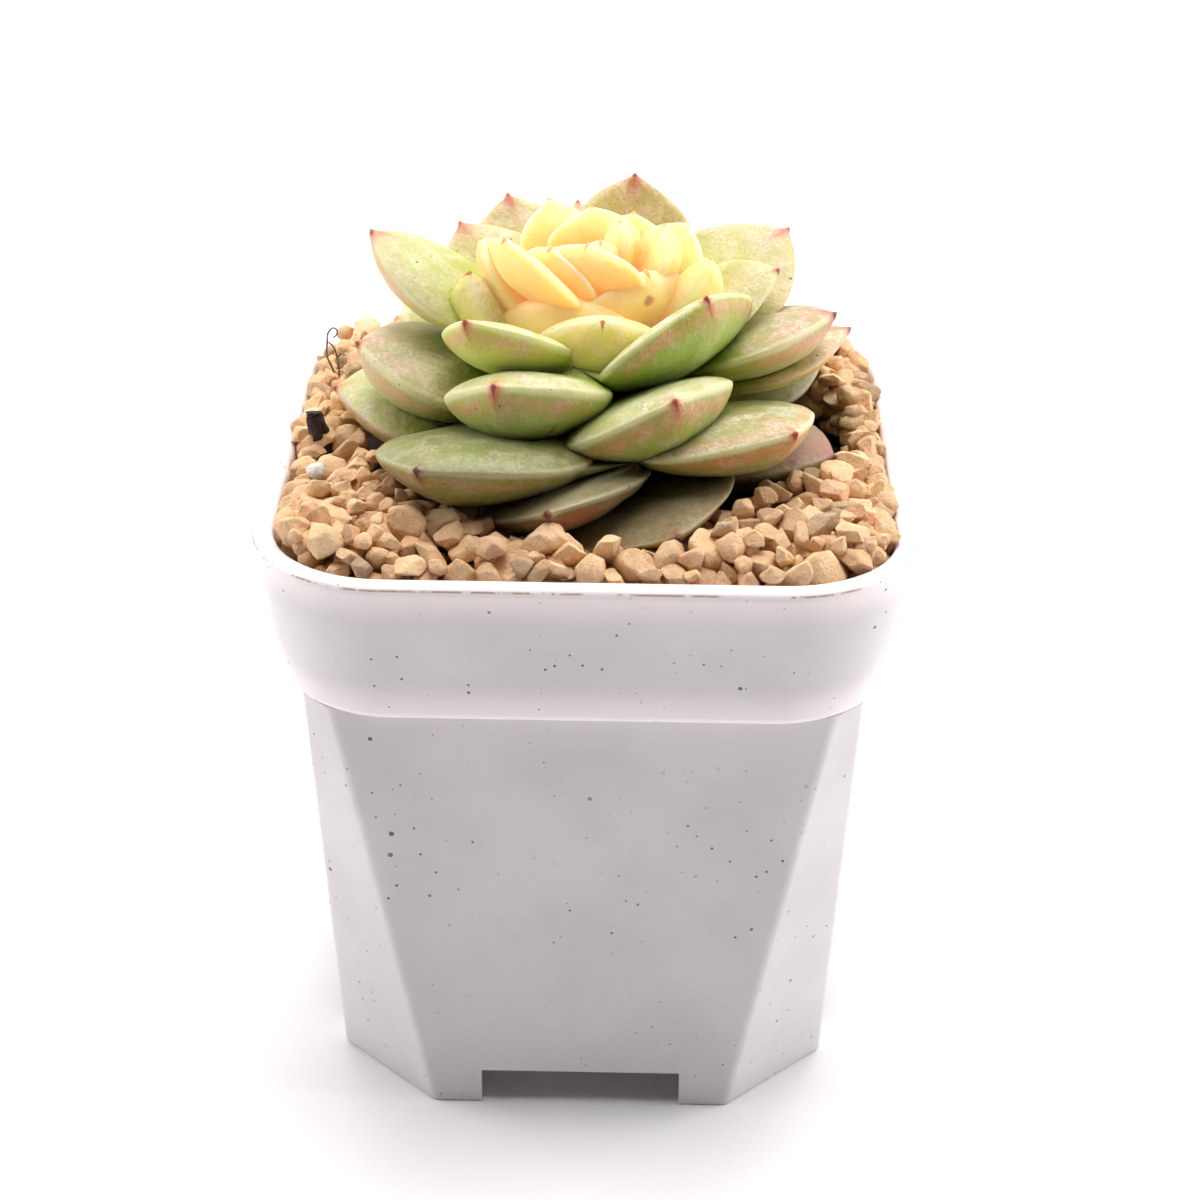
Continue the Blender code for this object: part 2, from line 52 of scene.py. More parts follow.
BODY = "root"
Colour = tuple[int, int, int]
Point = tuple[float, float, float]
Socket = bpy.types.NodeSocket
Route = tuple[tuple[float, float], ...]


# ------------------------------------------------------------------ small helpers


def linear(colour: Colour) -> tuple[float, float, float, float]:
    """Turns a display colour into the linear one that shaders take.

    Args:
        colour: red, green and blue, 0 to 255.

    Returns:
        Linear red, green, blue, and an alpha of 1.
    """
    shares = [c / 255 for c in colour]
    bent = [s / 12.92 if s <= 0.04045 else ((s + 0.055) / 1.055) ** 2.4 for s in shares]
    return (bent[0], bent[1], bent[2], 1.0)


def smooth_step(share: float) -> float:
    """Returns 0 to 1 with a soft start and end, for a share that it first clamps."""
    share = min(max(share, 0.0), 1.0)
    return share * share * (3 - 2 * share)


def mesh_object(
    name: str,
    points: Iterable[Sequence[float]],
    faces: Iterable[Sequence[int]],
    values: dict[str, Sequence[float]] | None = None,
) -> bpy.types.Object:
    """Makes a smooth-shaded object from points and faces.

    Args:
        name: the object's name.
        points: the vertices, in metres.
        faces: the corners of each face.
        values: named numbers to keep for each vertex, which the finishes read.

    Returns:
        The object, linked to the scene.
    """
    data = bpy.data.meshes.new(name)
    data.from_pydata([tuple(p) for p in points], [], [tuple(f) for f in faces])
    data.update()
    data.shade_smooth()
    for key, numbers in (values or {}).items():
        layer = data.attributes.new(key, "FLOAT", "POINT")
        layer.data.foreach_set("value", np.asarray(numbers, np.float32))
    made = bpy.data.objects.new(name, data)
    bpy.context.scene.collection.objects.link(made)
    return made


def loft_faces(sizes: Sequence[int], closed: bool = False) -> list[tuple[int, ...]]:
    """Lists the faces that join rings of points, one ring after the other.

    Args:
        sizes: how many points each ring has; a ring of one point is a pole.
        closed: True to join the last ring to the first.

    Returns:
        The faces, as indices into all the rings' points in order.
    """
    starts = [0]
    for size in sizes:
        starts.append(starts[-1] + size)
    pairs = [(i, i + 1) for i in range(len(sizes) - 1)]
    if closed:
        pairs.append((len(sizes) - 1, 0))
    faces = []
    for low, high in pairs:
        for i in range(max(sizes[low], sizes[high])):
            corners = [
                starts[low] + i % sizes[low],
                starts[low] + (i + 1) % sizes[low],
                starts[high] + (i + 1) % sizes[high],
                starts[high] + i % sizes[high],
            ]
            faces.append(tuple(dict.fromkeys(corners)))
    return faces


def face_outwards(made: bpy.types.Object) -> None:
    """Turns the faces of a closed mesh so that they all point out.

    Args:
        made: the object to mend.
    """
    mesh = bmesh.new()
    mesh.from_mesh(made.data)
    bmesh.ops.recalc_face_normals(mesh, faces=mesh.faces)
    mesh.to_mesh(made.data)
    mesh.free()


def loft_object(
    name: str, rings: Sequence[Sequence[Sequence[float]]], values: dict | None = None
) -> bpy.types.Object:
    """Makes a closed object through rings of points.

    Args:
        name: the object's name.
        rings: the rings in order; the first and the last may be poles.
        values: named numbers for the points, in the rings' order.

    Returns:
        The object, with its faces pointing out.
    """
    points = [p for ring in rings for p in ring]
    made = mesh_object(name, points, loft_faces([len(r) for r in rings]), values)
    face_outwards(made)
    return made


def tree_of(made: bpy.types.Object) -> BVHTree:
    """Returns a search tree over an object's faces, in its own frame."""
    data = made.data
    return BVHTree.FromPolygons(
        [v.co for v in data.vertices], [tuple(p.vertices) for p in data.polygons]
    )


def settle_piece(
    made: bpy.types.Object, slot: str, nodes: Sequence[str], look: bpy.types.Material
) -> None:
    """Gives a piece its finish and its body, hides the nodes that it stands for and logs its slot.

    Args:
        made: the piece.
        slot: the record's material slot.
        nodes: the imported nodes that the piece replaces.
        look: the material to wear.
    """
    made.data.materials.clear()
    made.data.materials.append(look)
    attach(made, BODY)
    if nodes:
        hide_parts(*nodes)
    LOG.info("%s: %d faces, %s", made.name, len(made.data.polygons), slot)


class Dress:
    """A procedural material that is put together node by node."""

    def __init__(self, name: str) -> None:
        """Starts a material with a Principled shader.

        Args:
            name: the material's name.
        """
        self.material = bpy.data.materials.new(name)
        self.material.use_nodes = True
        self.tree = self.material.node_tree
        self.shader = self.tree.nodes["Principled BSDF"]
        place = self.tree.nodes.new("ShaderNodeTexCoord")
        self.place = place.outputs["Object"]

    def _feed(self, socket: Socket, value: object) -> None:
        """Links or sets one input, whichever the value calls for."""
        if isinstance(value, Socket):
            self.tree.links.new(value, socket)
        else:
            socket.default_value = value

    def value(self, name: str) -> Socket:
        """Returns the mesh's own numbers of that name."""
        node = self.tree.nodes.new("ShaderNodeAttribute")
        node.attribute_name = name
        return node.outputs["Fac"]

    def height(self) -> Socket:
        """Returns the height in the object's own frame, in metres."""
        split = self.tree.nodes.new("ShaderNodeSeparateXYZ")
        self.tree.links.new(self.place, split.inputs[0])
        return split.outputs["Z"]

    def math(self, kind: str, *values: object) -> Socket:
        """Works out one sum.

        Args:
            kind: Blender's name for the operation.
            values: its inputs, as numbers or sockets.

        Returns:
            The result's socket.
        """
        node = self.tree.nodes.new("ShaderNodeMath")
        node.operation = kind
        for socket, value in zip(node.inputs, values):
            self._feed(socket, value)
        return node.outputs[0]

    def times(self, first: object, *others: object) -> Socket:
        """Multiplies numbers or sockets, one after the other."""
        for other in others:
            first = self.math("MULTIPLY", first, other)
        return first

    def noise(self, size: float, detail: float = 3, rough: float = 0.55) -> Socket:
        """Makes a cloudy pattern.

        Args:
            size: the width of one cloud, in metres.
            detail: how many finer layers it has.
            rough: how strong those layers are.

        Returns:
            The pattern's socket, about 0 to 1.
        """
        node = self.tree.nodes.new("ShaderNodeTexNoise")
        node.inputs["Scale"].default_value = 1 / size
        node.inputs["Detail"].default_value = detail
        node.inputs["Roughness"].default_value = rough
        self.tree.links.new(self.place, node.inputs["Vector"])
        return node.outputs["Fac"]

    def span(
        self, value: object, low: float, high: float, to_low: float = 0.0, to_high: float = 1.0
    ) -> Socket:
        """Maps a span of numbers softly onto another.

        Args:
            value: the number or socket to map.
            low: where the span starts.
            high: where it ends.
            to_low: what low becomes.
            to_high: what high becomes.

        Returns:
            The mapped socket, clamped at both ends.
        """
        node = self.tree.nodes.new("ShaderNodeMapRange")
        node.interpolation_type = "SMOOTHSTEP"
        for socket, number in zip(node.inputs, (value, low, high, to_low, to_high)):
            self._feed(socket, number)
        return node.outputs[0]

    def mix(self, share: object, first: object, second: object) -> Socket:
        """Blends two colours.

        Args:
            share: 0 for the first colour, 1 for the second.
            first: a display colour or a colour socket.
            second: a display colour or a colour socket.

        Returns:
            The blended colour's socket.
        """
        node = self.tree.nodes.new("ShaderNodeMix")
        node.data_type = "RGBA"
        self._feed(node.inputs[0], share)
        for socket, colour in ((node.inputs[6], first), (node.inputs[7], second)):
            self._feed(socket, linear(colour) if isinstance(colour, tuple) else colour)
        return node.outputs[2]

    def ramp(self, value: object, stops: Sequence[tuple[float, Colour]]) -> Socket:
        """Looks a colour up along a scale.

        Args:
            value: where to look, 0 to 1.
            stops: places on the scale and their display colours.

        Returns:
            The colour's socket.
        """
        node = self.tree.nodes.new("ShaderNodeValToRGB")
        marks = node.color_ramp.elements
        while len(marks) < len(stops):
            marks.new(0.5)
        for mark, (place, colour) in zip(marks, stops):
            mark.position = place
            mark.color = linear(colour)
        self._feed(node.inputs[0], value)
        return node.outputs[0]

    def dots(self, pitch: float, radius: float, share: float) -> Socket:
        """Scatters small round specks over the surface.

        Args:
            pitch: the distance between the places where one may be, in metres.
            radius: the size of a speck, in metres.
            share: how many of the places have one, 0 to 1.

        Returns:
            1 in a speck and 0 outside.
        """
        cells = self.tree.nodes.new("ShaderNodeTexVoronoi")
        cells.inputs["Scale"].default_value = 1 / pitch
        self.tree.links.new(self.place, cells.inputs["Vector"])
        split = self.tree.nodes.new("ShaderNodeSeparateColor")
        self.tree.links.new(cells.outputs["Color"], split.inputs[0])
        chosen = self.math("LESS_THAN", split.outputs[0], share)
        size = self.math("MULTIPLY_ADD", split.outputs[1], radius / pitch, 0.3 * radius / pitch)
        near = self.math("LESS_THAN", cells.outputs["Distance"], size)
        return self.times(chosen, near)

    def bump(self, height: object, depth: float, under: object = None) -> Socket:
        """Makes a small relief.

        Args:
            height: the relief's shape, 0 to 1.
            depth: how deep it goes, in metres.
            under: a coarser relief that this one lies on.

        Returns:
            The normal's socket.
        """
        node = self.tree.nodes.new("ShaderNodeBump")
        node.inputs["Distance"].default_value = depth
        self._feed(node.inputs["Height"], height)
        if under is not None:
            self._feed(node.inputs["Normal"], under)
        return node.outputs["Normal"]

    def finish(
        self, colour: object, roughness: object, normal: object = None
    ) -> bpy.types.Material:
        """Connects the shader.

        Args:
            colour: the base colour's socket.
            roughness: a number or a socket.
            normal: the relief's socket, if there is one.

        Returns:
            The finished material.
        """
        self._feed(self.shader.inputs["Base Color"], colour)
        self._feed(self.shader.inputs["Roughness"], roughness)
        if normal is not None:
            self._feed(self.shader.inputs["Normal"], normal)
        return self.material

    def glow(self, weight: float, depth: Point, scale: float = 1.0) -> None:
        """Lets light through the outer layer.

        Args:
            weight: how much of the light goes in, 0 to 1.
            depth: how far red, green and blue travel, in metres.
            scale: a multiplier for the depth.
        """
        self.shader.inputs["Subsurface Weight"].default_value = weight
        self.shader.inputs["Subsurface Radius"].default_value = depth
        self.shader.inputs["Subsurface Scale"].default_value = scale


# ------------------------------------------------------------------ the pot


@dataclass(frozen=True)
class WhitePlastic:
    """The pot's finish: satin white plastic, a little translucent, with dirt and with painted light
    bands on the rim.

    Each row of specks has the pitch and the radius in millimetres, and their share."""

    body: Colour = (222, 217, 221)
    cloud: Colour = (214, 209, 213)
    # Painted light: the colour of the lighter bands at the rim's lower edge and under the lip.
    painted_rim_light: Colour = (250, 239, 240)
    dirt: Colour = (112, 92, 80)
    stain: Colour = (158, 122, 94)
    painted_rim_light_strength: float = 0.85
    line_depth: float = 0.42 * MM
    line_strength: float = 0.75
    smudge_strength: float = 0.22
    specks: tuple[Point, ...] = ((1.5, 0.15, 0.8), (3.2, 0.24, 0.7))
    roughness: float = 0.42

    def material(self, lip_height: float, rim_under: float) -> bpy.types.Material:
        """Makes the material.

        Args:
            lip_height: the height of the pot's lip, where a line of dried dirt lies, and below
                which a lighter band is painted as a glow of light through the lip.
            rim_under: the height of the rim's lower side, above which a lighter band is painted as
                a highlight of light bounced up from the floor.

        Returns:
            The material.
        """
        dress = Dress("white_plastic")
        colour = dress.mix(dress.span(dress.noise(14 * MM), 0.35, 0.7), self.body, self.cloud)
        height = dress.height()
        # Painted light: a lighter band above the rim's lower edge stands in for light bounced up
        # from the floor, and one under the lip stands in for light shining through the plastic.
        low_band = dress.times(
            dress.span(height, rim_under - 0.05 * MM, rim_under + 0.1 * MM),
            dress.span(height, rim_under + 1.0 * MM, rim_under + 5.5 * MM, 1.0, 0.0),
        )
        high_band = dress.span(height, lip_height - 5 * MM, lip_height - 0.5 * MM)
        painted_rim_light = dress.math("MAXIMUM", low_band, high_band)
        colour = dress.mix(dress.times(painted_rim_light, self.painted_rim_light_strength), colour, self.painted_rim_light)
        below = dress.math("SUBTRACT", height, lip_height - self.line_depth)
        line = dress.span(dress.math("ABSOLUTE", below), 0.04 * MM, 0.14 * MM, 1.0, 0.0)
        broken = dress.span(dress.noise(5 * MM, 5, 0.7), 0.50, 0.58)
        colour = dress.mix(dress.times(line, broken, self.line_strength), colour, self.stain)
        smudge = dress.span(dress.noise(6 * MM, 6, 0.75), 0.66, 0.80, 0.0, self.smudge_strength)
        colour = dress.mix(smudge, colour, self.stain)
        strewn = dress.span(dress.noise(14 * MM), 0.42, 0.58, 0.20, 1.0)
        for pitch, radius, share in self.specks:
            speck = dress.times(dress.dots(pitch * MM, radius * MM, share), strewn)
            colour = dress.mix(speck, colour, self.dirt)
        relief = dress.bump(dress.noise(9 * MM, 2), 0.10 * MM)
        relief = dress.bump(dress.noise(0.5 * MM, 2), 0.012 * MM, relief)
        dress.glow(0.25, (2.2 * MM, 2.0 * MM, 1.9 * MM))
        dress.shader.inputs["Specular IOR Level"].default_value = 0.45
        low, high = self.roughness - 0.06, self.roughness + 0.08
        rough = dress.span(dress.noise(4 * MM), 0.3, 0.7, low, high)
        return dress.finish(colour, rough, relief)


@dataclass
class SquarePot:
    """The tapered square pot with bevelled corners and a tall rounded rim."""

    width: float = 70 * MM
    height: float = 69 * MM
    rim_height: float = 17 * MM
    rim_draft: float = 3 * MM
    rim_step: float = 2.4 * MM
    rim_corner: float = 14.5 * MM
    rim_corner_low: float = 12.4 * MM
    lip: float = 2.4 * MM
    edge: float = 1.1 * MM
    body_draft: float = 2.1 * MM
    leg_top: float = 3.2 * MM
    leg_base: float = 11.1 * MM
    softening: float = 1.6 * MM
    wall: float = 1.4 * MM
    foot: float = 5 * MM
    floor: float = 1.5 * MM
    notch_width: float = 22.2 * MM
    notch_height: float = 4.5 * MM
    drain: float = 4 * MM
    corner_steps: int = 18
    finish: WhitePlastic = field(default_factory=WhitePlastic)

    @property
    def rim_under(self) -> float:
        """The height of the rim's lower side."""
        return self.height - self.rim_height

    def ring(self, corner: Sequence[tuple[float, float]], z: float) -> list[Vector]:
        """Turns one corner's points into a closed square ring at a height.

        Args:
            corner: the points of one corner.
            z: the ring's height.

        Returns:
            The ring's points.
        """
        points = []
        for quarter in range(4):
            turn = Matrix.Rotation(math.radians(90 * quarter), 3, "Z")
            points.extend(turn @ Vector((x, y, z)) for x, y in corner)
        return points

    def rim_ring(self, z: float, inset: float = 0.0) -> list[Vector]:
        """Makes a ring of the rim.

        Args:
            z: the ring's height.
            inset: how far inside the outer face it lies.

        Returns:
            The ring's points.
        """
        share = (z - self.rim_under) / self.rim_height
        half = self.width / 2 - self.rim_draft * (1 - share) - inset
        radius = self.rim_corner_low + (self.rim_corner - self.rim_corner_low) * share - inset
        centre = half - radius
        corner = []
        for i in range(self.corner_steps + 1):
            angle = math.radians(90 * i / self.corner_steps)
            corner.append((centre + radius * math.cos(angle), centre + radius * math.sin(angle)))
        return self.ring(corner, z)

    def body_ring(self, z: float, inset: float = 0.0, level: float | None = None) -> list[Vector]:
        """Makes a ring of the body, whose corners are cut off by a widening bevel.

        Args:
            z: the height that sets the ring's outline.
            inset: how far inside the outer face it lies.
            level: the ring's own height, if it isn't z.

        Returns:
            The ring's points.
        """
        share = z / self.rim_under
        top_half = self.width / 2 - self.rim_draft - self.rim_step
        half = top_half - self.body_draft * (1 - share) - inset
        leg = self.leg_base + (self.leg_top - self.leg_base) * share - inset * (2 - math.sqrt(2))
        reach = self.softening * math.tan(math.radians(22.5))
        side_steps = self.corner_steps // 2
        first = []
        for i in range(side_steps + 1):
            angle = math.radians(45 * i / side_steps)
            x = half - self.softening * (1 - math.cos(angle))
            y = half - leg - reach + self.softening * math.sin(angle)
            first.append((x, y))
        second = [(y, x) for x, y in reversed(first)]
        both = (first + second)[: self.corner_steps] + [second[-1]]
        return self.ring(both, z if level is None else level)

    def rounded_edge(self, z: float, turns: Sequence[float]) -> list[list[Vector]]:
        """Makes the rings round one rounded edge of the rim's outside.

        Args:
            z: the height of the flat side that the edge ends at.
            turns: each ring's angle round the edge, in degrees.

        Returns:
            The rings in the angles' order.
        """
        rings = []
        for degrees in turns:
            angle = math.radians(degrees)
            height = z + self.edge * (math.sin(angle) - math.copysign(1, angle))
            rings.append(self.rim_ring(height, self.edge * (1 - math.cos(angle))))
        return rings

    def rings(self) -> list[list[Vector]]:
        """Lists the pot's rings, from the middle of its underside to that of its floor.

        Returns:
            The rings, with a pole at each end.
        """
        ledge = self.rim_under + self.wall
        floor_top = self.foot + self.floor
        soft = 0.35 * MM
        rings = [
            [Vector((0, 0, self.foot))],
            self.body_ring(self.foot, self.wall),
            self.body_ring(0, self.wall - 0.2 * MM, soft),
            self.body_ring(0, self.wall - soft, 0.05 * MM),
            self.body_ring(0, 0.65 * soft, 0.0),
            self.body_ring(0, 0.22 * soft, 0.3 * soft),
            self.body_ring(soft, 0.0),
        ]
        rings += [self.body_ring(self.rim_under * i / 12) for i in range(1, 12)]
        rings += [self.body_ring(self.rim_under - 0.5 * MM), self.body_ring(self.rim_under)]
        rings += self.rounded_edge(self.rim_under, (-90, -75, -60, -45, -30, -15, -1))
        top = self.rim_under + self.edge
        rings += [self.rim_ring(top + (self.height - self.edge - top) * i / 6) for i in range(1, 6)]
        rings += self.rounded_edge(self.height, (1, 15, 30, 45, 60, 75, 90))
        inner = self.lip - 0.5 * MM
        rings += [
            self.rim_ring(self.height, inner),
            self.rim_ring(self.height - 0.08 * MM, inner + 0.3 * MM),
            self.rim_ring(self.height - 0.35 * MM, self.lip),
            self.rim_ring(self.height - self.edge, self.lip),
            self.rim_ring(ledge, self.wall),
            self.body_ring(self.rim_under, self.wall, ledge),
            self.body_ring(floor_top, self.wall),
            [Vector((0, 0, floor_top))],
        ]
        return rings

    def _cut(self, shell: bpy.types.Object, low: Point, high: Point, turns: int) -> None:
        """Takes a box, or a round hole of many turns, out of the shell.

        Args:
            shell: the object to cut.
            low: the hole's lowest corner.
            high: its highest corner.
            turns: 4 for a box, more for a round hole.
        """
        mesh = bmesh.new()
        if turns == 4:
            bmesh.ops.create_cube(mesh, size=1)
        else:
            bmesh.ops.create_cone(
                mesh, cap_ends=True, segments=turns, radius1=0.5, radius2=0.5, depth=1
            )
        middle = (Vector(low) + Vector(high)) / 2
        size = Vector(high) - Vector(low)
        mesh.transform(Matrix.Translation(middle) @ Matrix.Diagonal((*size, 1)))
        data = bpy.data.meshes.new("cutter")
        mesh.to_mesh(data)
        mesh.free()
        cutter = bpy.data.objects.new("cutter", data)
        bpy.context.scene.collection.objects.link(cutter)
        cut = shell.modifiers.new("cut", "BOOLEAN")
        cut.operation = "DIFFERENCE"
        cut.solver = "EXACT"
        cut.object = cutter
        graph = bpy.context.evaluated_depsgraph_get()
        shaped = bpy.data.meshes.new_from_object(shell.evaluated_get(graph))
        shell.modifiers.clear()
        shell.data = shaped
        bpy.data.objects.remove(cutter)

    def build(self) -> bpy.types.Object:
        """Builds and dresses the pot.

        Returns:
            The pot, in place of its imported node.
        """
        shell = loft_object("pot_shell", self.rings())
        half, notch = self.width, self.notch_width / 2
        self._cut(shell, (-half, -notch, -MM), (half, notch, self.notch_height), 4)
        self._cut(shell, (-notch, -half, -MM), (notch, half, self.notch_height), 4)
        reach = self.drain
        self._cut(shell, (-reach, -reach, self.foot - MM), (reach, reach, self.foot + 3 * MM), 48)
        shell.data.shade_smooth()
        shell.data.set_sharp_from_angle(angle=math.radians(50))
        weighted = shell.modifiers.new("even_normals", "WEIGHTED_NORMAL")
        weighted.keep_sharp = True
        look = self.finish.material(self.height, self.rim_under)
        settle_piece(shell, "white_pot", ["pot"], look)
        return shell


# ------------------------------------------------------------------ the leaves


class Age(Enum):
    """How old a leaf is; its value is the slot name that is logged for the leaf."""

    OLD = "old_leaf"
    GREEN = "green_leaf"
    HEART = "heart_leaf"


@dataclass(frozen=True)
class LeafFinish:
    """The skin and flesh of one leaf, from its base to its pointed tip."""

    base: Colour = (166, 186, 28)
    belly: Colour = (188, 196, 92)
    back: Colour = (196, 204, 128)
    blush_colour: Colour = (214, 126, 80)
    bloom_colour: Colour = (242, 226, 212)
    margin: Colour = (240, 228, 186)
    tip: Colour = (196, 88, 72)
    blush: float = 0.6
    bloom: float = 0.80
    flush: float = 0.25
    mottle: float = 0.40
    tip_size: float = 1.9
    specks: float = 0.75
    scuffs: float = 0.35
    glow: float = 0.40
    glow_depth: Point = (2.0 * MM, 2.2 * MM, 0.8 * MM)
    # through: the strength of a painted glow, an emission in the upper-face colour that stands in
    # for back light shining through the leaf.
    through: float = 0.0
    roughness: float = 0.45
    rim_strength: float = 0.6
    speck_strength: float = 0.75
    mark_strength: float = 0.8
    crust_strength: float = 0.85
    soil_speck: Colour = (84, 60, 40)
    scuff_colour: Colour = (134, 100, 60)
    scar_colour: Colour = (154, 96, 60)
    crust_colour: Colour = (236, 228, 218)

    def material(self, name: str) -> bpy.types.Material:
        """Makes the leaf's material.

        Args:
            name: the material's name.

        Returns:
            The material.
        """
        dress = Dress(name)
        along, upper = dress.value("along"), dress.value("upper")
        edge, tip = dress.value("edge"), dress.value("tip")
        cloud = dress.noise(5 * MM, 4, 0.6)
        patch = dress.noise(2.2 * MM, 5, 0.65)
        grain = dress.noise(0.45 * MM, 4, 0.7)
        over = dress.span(upper, -0.05, 0.25)
        colour = dress.mix(over, self.belly, self.back)
        ripe = dress.math("ADD", along, dress.math("MULTIPLY_ADD", cloud, 0.5, -0.25))
        colour = dress.mix(dress.span(ripe, 0.42, 0.90), self.base, colour)
        shade = dress.times(dress.span(cloud, 0.46, 0.68), self.mottle)
        colour = dress.mix(shade, colour, self.base)
        blush = self._blush(dress, along, over, edge, tip, patch)
        colour = dress.mix(blush, colour, self.blush_colour)
        wax = self._wax(dress, along, over, cloud, patch, grain)
        colour = dress.mix(wax, colour, self.bloom_colour)
        rim = dress.times(
            dress.span(edge, 0.05, 0.5, 1.0, 0.0), dress.span(along, 0.30, 0.6), self.rim_strength
        )
        colour = dress.mix(rim, colour, self.margin)
        colour = self._point(dress, colour, tip, patch)
        colour = self._blemishes(dress, colour, patch, grain)
        relief = dress.bump(cloud, 0.40 * MM)
        relief = dress.bump(patch, 0.20 * MM, relief)
        relief = dress.bump(grain, 0.05 * MM, relief)
        rough = dress.span(wax, 0.0, 0.5, self.roughness - 0.10, self.roughness + 0.15)
        dress.glow(self.glow, self.glow_depth)
        dress.shader.inputs["Specular IOR Level"].default_value = 0.45
        dress.shader.inputs["Sheen Weight"].default_value = 0.06
        # Painted glow: the leaf emits its upper-face colour, standing in for back light shining
        # through its flesh.
        dress.shader.inputs["Emission Strength"].default_value = self.through
        dress.shader.inputs["Emission Color"].default_value = linear(self.back)
        return dress.finish(colour, rough, relief)

    def _blush(
        self, dress: Dress, along: Socket, over: Socket, edge: Socket, tip: Socket, patch: Socket
    ) -> Socket:
        """Returns how strong the warm blush is: under the margins, towards the tip.

        Args:
            dress: the material in the making.
            along: the place along the leaf, 0 to 1.
            over: 1 on the upper face, 0 on the lower.
            edge: the distance from the margin, in millimetres.
            tip: the distance from the tip, in millimetres.
            patch: a patchy pattern.

        Returns:
            The blush's strength.
        """
        band = dress.times(
            dress.span(edge, 0.1, 0.9),
            dress.span(edge, 1.3, 3.4, 1.0, 0.0),
            dress.span(along, 0.50, 0.85),
            dress.span(over, 0.0, 1.0, 1.0, self.flush),
        )
        halo = dress.span(tip, 1.4, 4.8, 0.75, 0.0)
        wide = dress.times(dress.span(tip, 2.0, 10.0, 1.0, 0.0), over, self.flush)
        both = dress.math("MAXIMUM", band, dress.math("MAXIMUM", halo, wide))
        return dress.times(both, dress.span(patch, 0.30, 0.66, 0.45, 1.0), self.blush)

    def _wax(
        self, dress: Dress, along: Socket, over: Socket, cloud: Socket, patch: Socket, grain: Socket
    ) -> Socket:
        """Returns how thick the bloom is: most on the upper face, rubbed off in places.

        Args:
            dress: the material in the making.
            along: the place along the leaf, 0 to 1.
            over: 1 on the upper face, 0 on the lower.
            cloud: a broad pattern.
            patch: a patchy pattern.
            grain: a fine pattern.

        Returns:
            The bloom's thickness.
        """
        return dress.times(
            dress.span(cloud, 0.30, 0.62, 0.35, 1.0),
            dress.span(patch, 0.38, 0.58, 0.22, 1.0),
            dress.span(grain, 0.40, 0.58, 0.25, 1.0),
            dress.span(along, 0.35, 0.85, 0.10, 1.0),
            dress.span(over, 0.0, 1.0, 0.40, 1.0),
            self.bloom,
        )

    def _point(self, dress: Dress, colour: Socket, tip: Socket, patch: Socket) -> Socket:
        """Adds the red point and the soft red patch behind it.

        Args:
            dress: the material in the making.
            colour: the colour so far.
            tip: the distance from the tip, in millimetres.
            patch: a patchy pattern.

        Returns:
            The new colour.
        """
        near = dress.math("ADD", tip, dress.math("MULTIPLY_ADD", patch, -1.8, 0.9))
        patch_red = dress.span(near, 0.2, self.tip_size * 1.15, 0.80, 0.0)
        colour = dress.mix(patch_red, colour, self.tip)
        dark = tuple(int(c * 0.72) for c in self.tip)
        strength = 0.8 * min(1.0, self.tip_size / 1.5)
        return dress.mix(dress.span(tip, 0.15, 0.55, strength, 0.0), colour, dark)

    def _blemishes(self, dress: Dress, colour: Socket, patch: Socket, grain: Socket) -> Socket:
        """Adds specks of dirt, scuffs, scars and salt crusts.

        Args:
            dress: the material in the making.
            colour: the colour so far.
            patch: a patchy pattern.
            grain: a fine pattern.

        Returns:
            The new colour.
        """
        for pitch, radius, share in ((0.8 * MM, 0.075 * MM, 0.7), (1.9 * MM, 0.14 * MM, 0.6)):
            speck = dress.dots(pitch, radius, self.specks * share)
            colour = dress.mix(dress.times(speck, self.speck_strength), colour, self.soil_speck)
        scuff = dress.times(
            dress.span(patch, 0.62, 0.72), dress.span(grain, 0.45, 0.60), self.scuffs
        )
        colour = dress.mix(scuff, colour, self.scuff_colour)
        scar = dress.times(dress.span(dress.value("scar"), 0.2, 0.7), self.mark_strength)
        colour = dress.mix(scar, colour, self.scar_colour)
        crust = dress.times(
            dress.value("crust"), dress.span(grain, 0.44, 0.58), self.crust_strength
        )
        return dress.mix(crust, colour, self.crust_colour)


class MarkKind(Enum):
    """What a mark on a leaf is."""

    RING_SCAR = "ring_scar"
    SCAR = "scar"
    CRUST = "crust"


@dataclass(frozen=True)
class Mark:
    """A mark on a leaf's lower face: its place along and across the blade, and its size."""

    kind: MarkKind
    along: float
    across: float
    size: float

    def strength(self, gap: float) -> float:
        """Returns how strong the mark is at a distance from its middle, 0 to 1."""
        if self.kind is MarkKind.RING_SCAR:
            return math.exp(-(((gap - 0.62 * self.size) / (0.22 * self.size)) ** 2))
        return math.exp(-((gap / self.size) ** 2))


@dataclass(frozen=True)
class Leaf:
    """One leaf: its place on the stem, its pose, its size beside a full leaf's, its skin."""

    azimuth: float
    seat: float
    rise: float
    tip_rise: float
    length: float
    width: float
    thickness: float
    roll: float
    finish: LeafFinish
    marks: tuple[Mark, ...] = ()


OLD = LeafFinish(
    base=(120, 118, 50),
    belly=(150, 138, 88),
    back=(160, 152, 112),
    blush_colour=(176, 118, 76),
    bloom_colour=(206, 196, 176),
    margin=(190, 180, 140),
    tip=(136, 64, 52),
    blush=0.45,
    bloom=0.30,
    mottle=0.45,
    specks=1.0,
    glow=0.20,
)
GREEN = LeafFinish()
PALE = replace(
    GREEN,
    base=(182, 188, 58),
    belly=(204, 202, 118),
    back=(204, 200, 132),
    blush=0.25,
    tip_size=1.4,
)
HEART = LeafFinish(
    base=(255, 186, 96),
    belly=(255, 220, 150),
    back=(255, 226, 160),
    blush_colour=(252, 188, 120),
    bloom_colour=(255, 240, 196),
    margin=(255, 240, 190),
    tip=(206, 120, 70),
    blush=0.25,
    bloom=0.30,
    mottle=0.30,
    tip_size=0.45,
    specks=0.12,
    scuffs=0.0,
    through=0.15,
    glow=0.85,
    glow_depth=(6.0 * MM, 4.4 * MM, 2.4 * MM),
    roughness=0.38,
)


